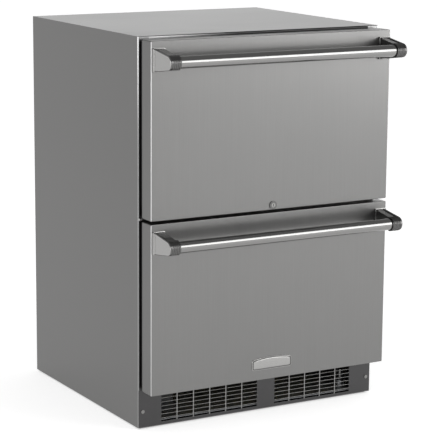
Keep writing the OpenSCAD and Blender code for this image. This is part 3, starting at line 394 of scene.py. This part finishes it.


# Darker than the fronts' grey: a shaded copy of the same steel, painted shade on the cabinet's sides and
# the drawers' side walls.
SIDE_STEEL = (0.166, 0.165, 0.163)
UPRIGHT = (1100.0, 1100.0, 5.0)
ENDWISE = (1100.0, 5.0, 1100.0)
CROSSWISE = (5.0, 1100.0, 1100.0)
EVEN = (420.0, 420.0, 420.0)
BEND = 1.3 * MM
SKIN_INSET = 0.5 * MM
CABINET_BEND = 2.5 * MM
drawer_side = front_box["upper"][1][0]
edge_y = side_low[1] + CABINET_BEND
bend_x = cad_high[0] - CABINET_BEND
SKIN_BEND_X = drawer_side - SKIN_INSET - BEND
SKIN_BEND_Y = front_box["upper"][0][1] + BEND
FLANGE_TOP = side_high[2] - 5 * MM
FLANGE_DARK = side_high[2] - 11 * MM

# The zones are painted. They stand for the light and shade that the photograph, taken from the left,
# shows along the bends and on the flange, and aren't a property of the steel.
# Each zone: where it is, the axis it changes along, the two ends of the change, shaded and lit grey.
# Painted highlight on the side bends of the drawer fronts, lighter upwards.
front_painted_light = [((SKIN_BEND_X, 1.0, SKIN_BEND_Y), "Z", -0.6, 0.6, 0.3, 0.72)]
# Painted highlight on the cabinet's front bends, lighter upwards, and painted shade on the flange beside
# the drawers, nearly black below its top.
side_painted_light = [((bend_x, 1.0, edge_y), "Z", 0.62, 0.87, 0.26, 0.66),
              ((0.0, bend_x, edge_y), "Z", FLANGE_DARK, FLANGE_TOP, 0.05, 0.35)]
# Painted highlight at the left end of the top's front bend, and painted shade, nearly black, along the rest
# of it.
top_painted_light = [((-1.0, 1.0, edge_y), "X", -0.05, -0.36, 0.035, 0.6)]

# The outer steel's greys are fitted to the photograph in this studio, whose floor mirrors as white.
# They are darker than real brushed steel, and look too dark in a dimmer studio.
# The fronts, sides, top, kick plate and louvres are one steel, and their greys differ as painted light
# and shade: the sides and the drawers' side walls are a shaded copy, the kick plate under the drawers
# the darkest, and the louvres lighter than the plate round them.
finish = {
    "brushed_stainless": brushed_metal(
        "brushed_stainless", (0.205, 0.204, 0.201), UPRIGHT, 0.34, 0.3, zones=front_painted_light),
    "side_stainless": brushed_metal(
        "side_stainless", SIDE_STEEL, UPRIGHT, 0.36, 0.4, zones=side_painted_light),
    "edge_stainless": brushed_metal(
        "edge_stainless", SIDE_STEEL, UPRIGHT, 0.36, 0.4),
    "top_stainless": brushed_metal(
        "top_stainless", (0.167, 0.166, 0.164), CROSSWISE, 0.3, zones=top_painted_light),
    "polished_stainless": brushed_metal(
        "polished_stainless", (0.25, 0.248, 0.244), CROSSWISE, 0.14, 0.0, 0.00001, 0.03),
    # A lighter copy of the bar's steel: painted light on the posts' outer sides and feet.
    "turned_stainless": brushed_metal(
        "turned_stainless", (0.33, 0.327, 0.322), EVEN, 0.15, 0.0, 0.00001, 0.04),
    # A darker copy of the steel: painted shade on the posts' arms, the lock's barrel and the name plate's
    # groove, and on the heads' bands over the shade of their real grooves.
    "grooved_stainless": brushed_metal(
        "grooved_stainless", (0.13, 0.129, 0.127), EVEN, 0.22, 0.0, 0.00002, 0.05),
    # The darkest copy of the steel: painted shade on the kick plate under the drawers.
    "kick_stainless": brushed_metal(
        "kick_stainless", (0.076, 0.075, 0.076), CROSSWISE, 0.36),
    "louvre_stainless": brushed_metal(
        "louvre_stainless", (0.24, 0.238, 0.234), CROSSWISE, 0.3),
    "plate_steel": brushed_metal(
        "plate_steel", (0.36, 0.357, 0.35), CROSSWISE, 0.25, 0.0, 0.00002, 0.05),
    "rear_sheet": brushed_metal(
        "rear_sheet", (0.36, 0.37, 0.38), EVEN, 0.42, 0.0, 0.00003, 0.08),
    "liner_stainless": brushed_metal(
        "liner_stainless", (0.34, 0.338, 0.333), UPRIGHT, 0.3, 0.5),
    "slide_zinc": brushed_metal(
        "slide_zinc", (0.42, 0.44, 0.47), ENDWISE, 0.33, 0.0, 0.00002, 0.06),
    "cage_brass": brushed_metal(
        "cage_brass", (0.62, 0.46, 0.2), ENDWISE, 0.3, 0.0, 0.00002, 0.08),
    "screw_steel": brushed_metal(
        "screw_steel", (0.22, 0.218, 0.213), EVEN, 0.2, 0.0, 0.00002, 0.05),
    "lock_chrome": brushed_metal(
        "lock_chrome", (0.26, 0.258, 0.252), EVEN, 0.18, 0.0, 0.00001, 0.04),
    "coil_aluminium": brushed_metal(
        "coil_aluminium", (0.60, 0.61, 0.62), UPRIGHT, 0.38, 0.0, 0.00003, 0.06),
    "copper_tube": brushed_metal(
        "copper_tube", (0.72, 0.36, 0.22), EVEN, 0.3, 0.0, 0.00003, 0.12),
    "motor_steel": brushed_metal(
        "motor_steel", (0.32, 0.33, 0.34), EVEN, 0.45, 0.0, 0.00004, 0.06),
    "black_enamel": moulded("black_enamel", (0.012, 0.012, 0.013), 0.3, 260.0, 0.00008),
    "dark_plastic": moulded("dark_plastic", (0.018, 0.018, 0.02), 0.45),
    "seal_rubber": moulded("seal_rubber", (0.012, 0.012, 0.013), 0.6, 700.0, 0.00006, 0.05),
    "back_panel_plastic": moulded("back_panel_plastic", (0.045, 0.046, 0.048), 0.42),
    "insulation_foam": foam_finish("insulation_foam", (0.70, 0.62, 0.36)),
    "light_lens": lens_finish("light_lens", (0.86, 0.86, 0.84)),
}

# Nodes given another grey of their steel: painted light and shade on the top, kick plate and side panels,
# and painted shade on the lock's barrel round its plug.
OWN_FINISH = {"top_panel": "top_stainless", "kick_plate": "kick_stainless",
              "lock_barrel": "grooved_stainless",
              "left_side_panel": "side_stainless", "right_side_panel": "side_stainless"}


def finish_frame_nodes():
    """Gives every node of the frame the finish of its slot."""
    for part in frame["record"]["subparts"]:
        obj = frame["nodes"][part["node"]]
        chosen = finish[OWN_FINISH.get(part["node"], part["material_slot"])]
        if not obj.material_slots:
            obj.data.materials.append(chosen)
        for place in obj.material_slots:
            place.material = chosen


# ---- drawer fronts ----

SHEET = 1.2 * MM
FACE_CORNER = 3.0 * MM


def bend_profile(outer, inner, along_edge, along_face, sign):
    """Half section of a pan's wall: up the inside, round the bend, and back down the outside."""
    settle = 0.4 * MM
    a = arc(0, 90, 6)
    rise = along_face - sign * outer
    outside = [(outer - outer * math.cos(t), rise + sign * outer * math.sin(t)) for t in a]
    inside = [(outer - inner * math.cos(t), rise + sign * inner * math.sin(t)) for t in a]
    flat_in = [(outer + settle, along_face - sign * (outer - inner))]
    flat_out = [(outer + settle, along_face)]
    edge = [(outer - inner, along_edge), (0.0, along_edge)]
    before = [(outer - inner, rise - sign * settle)]
    after = [(0.0, rise - sign * settle)]
    return flat_in + inside[::-1] + before + edge + after + outside + flat_out


def make_drawer_skin(name):
    """Folded front of a drawer: a shell of one sheet with bends round all four edges of its face.

    Its left and right walls have the darker grey of the cabinet's sides, as painted shade.
    """
    low, high = front_box[name]
    low, high = low + [SKIN_INSET, 0, 0], high - [SKIN_INSET, 0, 0]
    profile = bend_profile(BEND, BEND - SHEET, high[1], low[1], -1)
    rings = pan_rings(low, high, 1, profile, FACE_CORNER)
    skin = piece(name + "_front_skin", [rings], name + "_drawer",
                 "brushed_stainless", replaces=[name + "_drawer_front"])
    # The side walls take the shaded copy of the steel: painted shade.
    skin.data.materials.append(finish["edge_stainless"])
    normals, _ = face_normals_and_middles(skin.data)
    skin.data.polygons.foreach_set("material_index", (np.abs(normals[:, 0]) > 0.95).astype(np.int32))


# ---- handles ----

def make_bar(name):
    """Tube between the posts: a turned profile with a small bevel at each end."""
    low, high = bar_box[name]
    r, bevel = (high[2] - low[2]) / 2, 0.6 * MM
    centre = (low + high) / 2
    profile = [(low[0], r - bevel), (low[0] + bevel, r), (low[0] + 2 * bevel, r),
               (high[0] - 2 * bevel, r), (high[0] - bevel, r), (high[0], r - bevel)]
    piece(name + "_bar", [lathe(profile, 0, centre, 96)], name + "_drawer",
          "polished_stainless", replaces=[name + "_handle_bar"])


FOOT_W = 29 * MM
PLATE_T = 5 * MM
COVE = 7.5 * MM
HEAD_LEN = 26 * MM
BAND_LEN = 20 * MM
SIDE_EDGE = 3 * MM
GROOVES = 5
GROOVE_DEPTH = 1.2 * MM


def band_profile(start, radius):
    """Grooved band of a head: round grooves side by side with sharp ridges between them."""
    pitch = BAND_LEN / GROOVES
    points = [(0.0, radius - 2.5 * MM)]
    for k in range(GROOVES):
        for t in arc(180, 0, 9)[:-1]:
            place = (k + 0.5) * pitch + pitch / 2 * math.cos(t)
            points.append((place, radius - GROOVE_DEPTH * math.sin(t)))
    points += [(BAND_LEN, radius), (BAND_LEN + 0.3 * MM, radius - 2.5 * MM)]
    return [(start + a, r) for a, r in points]


def arm_outline(reach, half, radius, inset, foot_points=8, arc_points=32):
    """Side outline of an arm: foot line, the two tangents to a circle, and the circle's outer arc."""
    half, radius = half - inset, radius - inset
    slant = math.atan2(half, reach) + math.acos(radius / math.hypot(reach, half))
    turn = np.linspace(slant, TAU - slant, arc_points)
    round_end = np.stack([radius * np.cos(turn), radius * np.sin(turn)], axis=1)
    along = np.linspace(0, 1, foot_points)[:-1, None]
    upper = (1 - along) * [[reach, half]] + along * round_end[:1]
    lower = along * [[reach, -half]] + (1 - along) * round_end[-1:]
    return np.concatenate([upper, round_end, lower[1:], [[reach, -half]]])


def arm_rings(slices, reach, half, radius, axis_y, axis_z):
    """Rings of an arm: each (x, inset) of the slices carries the outline one step along X."""
    rings = []
    for x, inset in slices:
        outline = arm_outline(reach, half, radius, inset)
        ring = np.zeros((len(outline), 3))
        ring[:, 0] = x
        ring[:, 1] = axis_y + outline[:, 0]
        ring[:, 2] = axis_z + outline[:, 1]
        rings.append(ring)
    return np.stack(rings)


def make_posts(name):
    """Both posts of a handle: foot plate with its cove, flat-sided arm and grooved head."""
    low, high = post_box[name]
    bar_low, bar_high = bar_box[name]
    middle_z = (bar_low[2] + bar_high[2]) / 2
    bar_y = (bar_low[1] + bar_high[1]) / 2
    face_y = high[1]
    head_r = bar_y - low[1]
    foot_half = (high[2] - low[2]) / 2
    mouth, plate_out = bar_high[0], high[0]
    side_x = mouth + HEAD_LEN
    plate_mid = plate_out - FOOT_W / 2
    reach = face_y - PLATE_T - bar_y
    edge = [(side_x - SIDE_EDGE * (1 - math.sin(t)), SIDE_EDGE * (1 - math.cos(t)))
            for t in arc(0, 90, 7)]
    edge = [(mouth + BAND_LEN - 0.5 * MM, 0.0), (side_x - SIDE_EDGE - 0.4 * MM, 0.0)] + edge
    edge.append((side_x, SIDE_EDGE + 0.4 * MM))
    core = [(mouth + 1 * MM, 2.2 * MM), (mouth + 1.6 * MM, 1.6 * MM), (mouth + BAND_LEN + 1 * MM, 1.6 * MM)]
    stacks, bands = [], []
    for side in (1, -1):
        plate = []
        for depth, inset in ((0.0, 0.0), (0.3, 0.0), (PLATE_T / MM - 0.9, 0.0),
                             (PLATE_T / MM - 0.3, 0.25), (PLATE_T / MM, 0.9)):
            outline = rounded_rectangle(FOOT_W / 2 - inset * MM, foot_half - inset * MM, 2.0 * MM)
            plate.append(place_uv(outline, 1, face_y - depth * MM, (side * plate_mid, 0, middle_z)))
        stacks.append(np.stack(plate))
        cove = []
        for t in arc(0, 85, 8):
            close = 1 - math.sin(t)
            out_x = side_x - 0.2 * MM + close * 2.4 * MM
            in_x = mouth + 1.8 * MM - close * 1.4 * MM
            half_v = foot_half - 2.2 * MM + close * 1.6 * MM
            outline = rounded_rectangle((out_x - in_x) / 2, half_v, 2.5 * MM)
            depth = PLATE_T - 0.2 * MM + COVE * (1 - math.cos(t))
            cove.append(place_uv(outline, 1, face_y - depth, (side * (out_x + in_x) / 2, 0, middle_z)))
        stacks.append(np.stack(cove))
        for slices in (core, edge):
            mirrored = [(side * x, inset) for x, inset in slices]
            stacks.append(arm_rings(mirrored, reach, foot_half - 1 * MM, head_r - 0.3 * MM,
                                    bar_y, middle_z))
        profile = [(side * a, r) for a, r in band_profile(mouth, head_r)]
        bands.append(lathe(profile, 0, (0, bar_y, middle_z), 72))
    posts = piece(name + "_posts", stacks, name + "_drawer", "turned_stainless",
                  replaces=[name + "_handle_posts"], crease=40)
    darken_arms(posts.data, face_y - PLATE_T)
    # The bands' dark grey adds painted shade to the shade of their real grooves.
    piece(name + "_post_bands", bands, name + "_drawer",
          "grooved_stainless", crease=40)


def darken_arms(mesh, plate_y):
    """Second finish on what faces the other post, and on what is in front of the foot plates and
    doesn't face sideways. It stands for the shade that the photograph shows there."""
    mesh.materials.append(finish["grooved_stainless"])
    normals, middles = face_normals_and_middles(mesh)
    across = normals[:, 0]
    inward = across * np.sign(middles[:, 0]) < -0.6
    dark = inward | (np.abs(across) < 0.6) & (middles[:, 1] < plate_y)
    mesh.polygons.foreach_set("material_index", dark.astype(np.int32))


# ---- kick plate with its louvres ----

COLUMNS = (6, 5)
COLUMN_PITCH, COLUMN_BAR, GROUP_GAP = 41.2 * MM, 3.6 * MM, 46 * MM
BAR_W = 2.5 * MM
WINDOW_UP, LOUVRES, LOUVRE_PITCH, LOUVRE_SEAT = 7 * MM, 8, 9.1 * MM, 3 * MM
LOUVRE_EDGE, LOUVRE_DEPTH, LOUVRE_LEAN = 1.0 * MM, 3.5 * MM, 0.1
KICK_SHEET = 1.2 * MM


def pierced_plate(xs, zs, solid, front, back):
    """Plate cut into a grid at xs and zs: solid cells get a front and a back, and walls at the holes."""
    nx, nz = len(xs), len(zs)
    x, z = np.meshgrid(xs, zs, indexing="ij")
    flat = np.stack([x, np.full_like(x, front), z], axis=-1).reshape(-1, 3)
    points = np.concatenate([flat, flat + [0, back - front, 0]])
    index = np.arange(nx * nz).reshape(nx, nz)
    deep = index + nx * nz
    i, j = np.nonzero(solid)
    faces = [np.stack([index[i, j], index[i + 1, j], index[i + 1, j + 1], index[i, j + 1]], axis=1),
             np.stack([deep[i, j], deep[i, j + 1], deep[i + 1, j + 1], deep[i + 1, j]], axis=1)]
    framed = np.pad(solid, 1).astype(int)
    across = framed[1:, 1:-1] - framed[:-1, 1:-1]
    upward = framed[1:-1, 1:] - framed[1:-1, :-1]
    for step, here in ((across, (0, 1)), (upward, (1, 0))):
        for sign in (1, -1):
            i, j = np.nonzero(step == sign)
            i2, j2 = i + 1 - here[1], j + here[1]
            walls = np.stack([index[i, j], index[i2, j2], deep[i2, j2], deep[i, j]], axis=1)
            turned = (sign == 1) != (here == (0, 1))
            faces.append(walls[:, ::-1] if turned else walls)
    return points, faces


def make_kick_plate():
    """Plate with two windows and, in them, upright bars and louvres that lean back and down."""
    front = kick_low[1]
    groups = [n * COLUMN_PITCH - COLUMN_BAR for n in COLUMNS]
    start = -(sum(groups) + GROUP_GAP) / 2
    starts = (start, start + groups[0] + GROUP_GAP)
    low = kick_low[2] + WINDOW_UP
    high = low + LOUVRES * LOUVRE_PITCH - LOUVRE_SEAT
    xs = np.array([kick_low[0], starts[0], starts[0] + groups[0],
                   starts[1], starts[1] + groups[1], kick_high[0]])
    zs = np.array([kick_low[2], low, high, kick_high[2]])
    solid = np.ones((5, 3), bool)
    solid[[1, 3], 1] = False
    points, faces = pierced_plate(xs, zs, solid, front, front + KICK_SHEET)
    plate = piece_from_faces("kick_plate_sheet", points, faces, "root",
                             "kick_stainless", ["kick_plate"])
    bevel = plate.modifiers.new("edges", "BEVEL")
    bevel.width = 0.35 * MM
    bevel.segments = 2
    fold = box_rings(kick_low[0] + 1 * MM, kick_high[0] - 1 * MM, front + KICK_SHEET, kick_high[1],
                     kick_high[2] - KICK_SHEET, kick_high[2] - 0.1 * MM)
    stacks = [fold]
    for first, count in zip(starts, COLUMNS):
        for k in range(count):
            x0 = first + k * COLUMN_PITCH
            x1 = x0 + COLUMN_PITCH - COLUMN_BAR
            if k < count - 1:
                middle = x1 + COLUMN_BAR / 2
                stacks.append(box_rings(middle - BAR_W / 2, middle + BAR_W / 2, front + 0.1 * MM,
                                        front + 1.6 * MM, low - 0.3 * MM, high + 0.3 * MM))
            for i in range(1, LOUVRES):
                z = low + i * LOUVRE_PITCH - (LOUVRE_SEAT + LOUVRE_EDGE) / 2
                stacks.append(louvre_rings(x0 - 0.6 * MM, x1 + 0.6 * MM, front + 0.2 * MM, z))
    piece("kick_louvres", stacks, "root", "louvre_stainless")


def box_rings(x0, x1, y0, y1, z0, z1):
    """Bar of four corners with its front and back edges drawn in a little."""
    inset = min(0.3 * MM, (x1 - x0) / 4, (z1 - z0) / 4)
    rings = []
    for y, d in ((y0, inset), (y0 + inset, 0), (y1 - inset, 0), (y1, inset)):
        rings.append([(x0 + d, y, z0 + d), (x1 - d, y, z0 + d), (x1 - d, y, z1 - d), (x0 + d, y, z1 - d)])
    return np.array(rings)


def louvre_rings(x0, x1, y, z):
    """Side view of a louvre carried from x0 to x1: a rounded front edge, then a strip leaning down."""
    e, d, t = LOUVRE_EDGE, LOUVRE_DEPTH, KICK_SHEET
    nose = [(y + 0.3 * e * (1 - math.cos(a)), z + e / 2 + e / 2 * math.sin(a)) for a in arc(-80, 80, 6)]
    side = nose + [(y + t, z + e), (y + d, z + e - LOUVRE_LEAN * d),
                   (y + d - t, z + e - LOUVRE_LEAN * d - t), (y + t, z)]
    return np.array([[(x, a, b) for a, b in side] for x in (x0, x1)])


# ---- name plate without a name ----

def arched_plate(half_u, half_v, radius, rise, corner=6, divided=14):
    """Rounded rectangle whose long edges are divided and whose upper edge is arched by a rise."""
    plain = rounded_rectangle(half_u, half_v, radius, corner)
    t = np.linspace(0, 1, divided + 2)[1:-1, None]
    foot = (1 - t) * plain[corner - 1] + t * plain[corner]
    top = (1 - t) * plain[3 * corner - 1] + t * plain[3 * corner]
    outline = np.concatenate([plain[:corner], foot, plain[corner:3 * corner], top, plain[3 * corner:]])
    upper = outline[:, 1] > 0
    outline[upper, 1] += rise * (1 - (outline[upper, 0] / half_u) ** 2)
    return outline


NAME_PLATE_PROFILE = ((0.0, 0.0), (0.0, 1.0), (0.25, 1.4), (0.6, 1.6), (1.3, 1.55), (1.5, 0.6),
                      (3.4, 0.6), (3.6, 1.5), (4.1, 1.75), (6.0, 1.85))
NAME_PLATE_GROOVE = 6  # the point of the profile in the middle of the groove


def make_name_plate():
    """Bare plate with an arched top: a raised rim, a groove inside it painted dark as shade, and a low
    dome.
    """
    low, high = front_box["lower"]
    half_w, half_h = 51 * MM, 12 * MM
    centre = (2 * MM, 0, low[2] + 35 * MM)
    rings = []
    for inset, out in NAME_PLATE_PROFILE:
        corner_r = (5 - 0.6 * inset) * MM
        outline = arched_plate(half_w - inset * MM, half_h - inset * MM, corner_r, 5 * MM)
        rings.append(place_uv(outline, 1, low[1] - out * MM, centre))
    plate = piece("name_plate", [np.stack(rings)], "lower_drawer", "plate_steel")
    # The groove takes the dark grey as painted shade.
    plate.data.materials.append(finish["grooved_stainless"])
    count = len(rings[0])
    chosen = np.zeros(len(plate.data.polygons), np.int32)
    chosen[(NAME_PLATE_GROOVE - 1) * count:(NAME_PLATE_GROOVE + 1) * count] = 1
    plate.data.polygons.foreach_set("material_index", chosen)


def make_mullion_tabs():
    """Small folded tabs at both ends of the mullion's face, in the gap between the drawers."""
    gap_low, gap_high = front_box["lower"][1][2], front_box["upper"][0][2]
    flange = side_low[1]
    rings = []
    for side in (1, -1):
        outer, inner = side * (cad_high[0] - 0.4 * MM), side * (cad_high[0] - 7 * MM)
        x0, x1 = min(outer, inner), max(outer, inner)
        rings.append(box_rings(x0, x1, flange - 8 * MM, flange - 0.1 * MM,
                               gap_low + 1.2 * MM, gap_high - 0.8 * MM))
    piece("mullion_tabs", rings, "root", "turned_stainless")


# ---- studio ----

def area_lamp(name, place, target, size, power, colour=(1, 1, 1)):
    """Soft rectangular lamp at a place, turned to a target."""
    data = bpy.data.lights.new(name, "AREA")
    data.shape = "RECTANGLE"
    data.size, data.size_y = size
    data.energy = power
    data.color = colour
    obj = bpy.data.objects.new(name, data)
    bpy.context.scene.collection.objects.link(obj)
    place, target = np.array(place, float), np.array(target, float)
    forward = (target - place) / np.linalg.norm(target - place)
    right = np.cross(forward, (0, 0, 1))
    right /= np.linalg.norm(right)
    up = np.cross(right, forward)
    turn = Matrix((right, up, -forward)).transposed().to_4x4()
    obj.matrix_world = Matrix.Translation(place) @ turn
    obj.visible_camera = False


def seen_directly_or_mirrored(tree):
    """1 for camera, glossy and transmission rays, 0 for the rays that only light things."""
    path = tree.nodes.new("ShaderNodeLightPath")
    total = path.outputs["Is Camera Ray"]
    for ray in ("Is Glossy Ray", "Is Transmission Ray"):
        total = math_node(tree, "MAXIMUM", total, path.outputs[ray])
    return total


HORIZON, CEILING = 0.14, 0.44  # heights of a direction between which the sky darkens


def make_world(level, ceiling):
    """White round the horizon and darker overhead for camera and mirrors; a plain level else."""
    world = bpy.data.worlds.new("studio")
    bpy.context.scene.world = world
    world.use_nodes = True
    tree = world.node_tree
    direction = tree.nodes.new("ShaderNodeTexCoord").outputs["Generated"]
    split = tree.nodes.new("ShaderNodeSeparateXYZ")
    tree.links.new(direction, split.inputs["Vector"])
    sky = tree.nodes.new("ShaderNodeMapRange")
    sky.inputs["From Min"].default_value = HORIZON
    sky.inputs["From Max"].default_value = CEILING
    sky.inputs["To Min"].default_value = 1.0
    sky.inputs["To Max"].default_value = ceiling
    tree.links.new(split.outputs["Z"], sky.inputs["Value"])
    strength = tree.nodes.new("ShaderNodeMapRange")
    strength.inputs["To Min"].default_value = level
    tree.links.new(sky.outputs["Result"], strength.inputs["To Max"])
    tree.links.new(seen_directly_or_mirrored(tree), strength.inputs["Value"])
    tree.links.new(strength.outputs["Result"], tree.nodes["Background"].inputs["Strength"])
    tree.nodes["Background"].inputs["Color"].default_value = (1, 1, 1, 1)


def beside_footprint(tree, coords):
    """0 under the cabinet and 1 beside it, from the larger of the two distances past its edges."""
    split = tree.nodes.new("ShaderNodeSeparateXYZ")
    tree.links.new(coords, split.inputs["Vector"])
    front, back = kick_low[1], cad_high[1]
    beyond = []
    for socket, middle, half in (("X", 0.0, cad_high[0]), ("Y", (front + back) / 2, (back - front) / 2)):
        centred = math_node(tree, "SUBTRACT", split.outputs[socket], middle)
        away = math_node(tree, "ABSOLUTE", centred, 0.0)
        beyond.append(math_node(tree, "SUBTRACT", away, half))
    fade = tree.nodes.new("ShaderNodeMapRange")
    fade.inputs["From Min"].default_value = -15 * MM
    fade.inputs["From Max"].default_value = -3 * MM
    tree.links.new(math_node(tree, "MAXIMUM", *beyond), fade.inputs["Value"])
    return fade.outputs["Result"]


FLOOR_PALE = 0.86


def make_floor(lift):
    """Plain pale floor, black under the cabinet as painted shadow; camera and mirrors see it lifted to
    white.
    """
    half = 30.0
    points = np.array([(-half, -half, 0), (half, -half, 0), (half, half, 0), (-half, half, 0)])
    mesh = add_mesh("floor", points, [np.array([[0, 1, 2, 3]])])
    floor = bpy.data.objects.new("floor", mesh)
    bpy.context.scene.collection.objects.link(floor)
    material = bpy.data.materials.new("pale_floor")
    material.use_nodes = True
    tree = material.node_tree
    shader = tree.nodes["Principled BSDF"]
    shader.inputs["Roughness"].default_value = 0.95
    shader.inputs["Specular IOR Level"].default_value = 0.1
    shader.inputs["Emission Color"].default_value = (1, 1, 1, 1)
    coords = tree.nodes.new("ShaderNodeTexCoord").outputs["Object"]
    clear = beside_footprint(tree, coords)
    # Painted shadow: the floor's colour goes to black under the cabinet, where the lift is taken off too.
    pale = tree.nodes.new("ShaderNodeMix")
    pale.data_type = "RGBA"
    pale.inputs["A"].default_value = (0, 0, 0, 1)
    pale.inputs["B"].default_value = (FLOOR_PALE, FLOOR_PALE, FLOOR_PALE, 1)
    tree.links.new(clear, pale.inputs["Factor"])
    tree.links.new(pale.outputs["Result"], shader.inputs["Base Color"])
    strength = math_node(tree, "MULTIPLY", seen_directly_or_mirrored(tree), clear)
    tree.links.new(math_node(tree, "MULTIPLY", strength, lift), shader.inputs["Emission Strength"])
    mesh.materials.append(material)


CAMERA_PLACE = (-2.0685, -3.6351, 1.2359)
CAMERA_YAW, CAMERA_PITCH, CAMERA_ROLL = 29.771, 11.222, 0.432
FOCAL_PIXELS, FRAME_PIXELS, SENSOR_MM = 1847.7, 437, 36.0


def make_camera():
    """Camera at the photograph's place, from a yaw to the right, a pitch down and a small roll."""
    yaw, pitch, roll = (math.radians(a) for a in (CAMERA_YAW, CAMERA_PITCH, CAMERA_ROLL))
    forward = np.array([math.sin(yaw) * math.cos(pitch), math.cos(yaw) * math.cos(pitch), -math.sin(pitch)])
    right = np.array([math.cos(yaw), -math.sin(yaw), 0.0])
    up = np.cross(right, forward)
    turned_right = math.cos(roll) * right + math.sin(roll) * up
    turned_up = -math.sin(roll) * right + math.cos(roll) * up
    data = bpy.data.cameras.new("camera")
    data.sensor_fit = "HORIZONTAL"
    data.sensor_width = SENSOR_MM
    data.lens = FOCAL_PIXELS * SENSOR_MM / FRAME_PIXELS
    data.clip_end = 200.0
    camera = bpy.data.objects.new("camera", data)
    bpy.context.scene.collection.objects.link(camera)
    turn = Matrix((turned_right, turned_up, -forward)).transposed().to_4x4()
    camera.matrix_world = Matrix.Translation(CAMERA_PLACE) @ turn
    bpy.context.scene.camera = camera


# ---- the whole ----

make_camera()
finish_frame_nodes()
for drawer in DRAWERS:
    make_drawer_skin(drawer)
    make_bar(drawer)
    make_posts(drawer)
make_name_plate()
make_mullion_tabs()
make_kick_plate()

make_world(level=0.5, ceiling=0.3)
make_floor(lift=0.6)
area_lamp("front", (2.05, -3.1, 1.58), (0.1, -0.3, 0.8), (1.7, 1.9), 38)
area_lamp("right", (1.8, -2.0, 0.75), (0.0, -0.26, 0.65), (0.5, 0.7), 2.5)
area_lamp("back", (2.1, 3.4, 1.25), (0.1, 0.0, 0.85), (2.4, 1.2), 3.5)
area_lamp("edge", (-2.2, -1.5, 1.0), (-0.3, -0.3, 0.4), (0.5, 1.6), 12)
bpy.context.scene.view_settings.view_transform = "Standard"
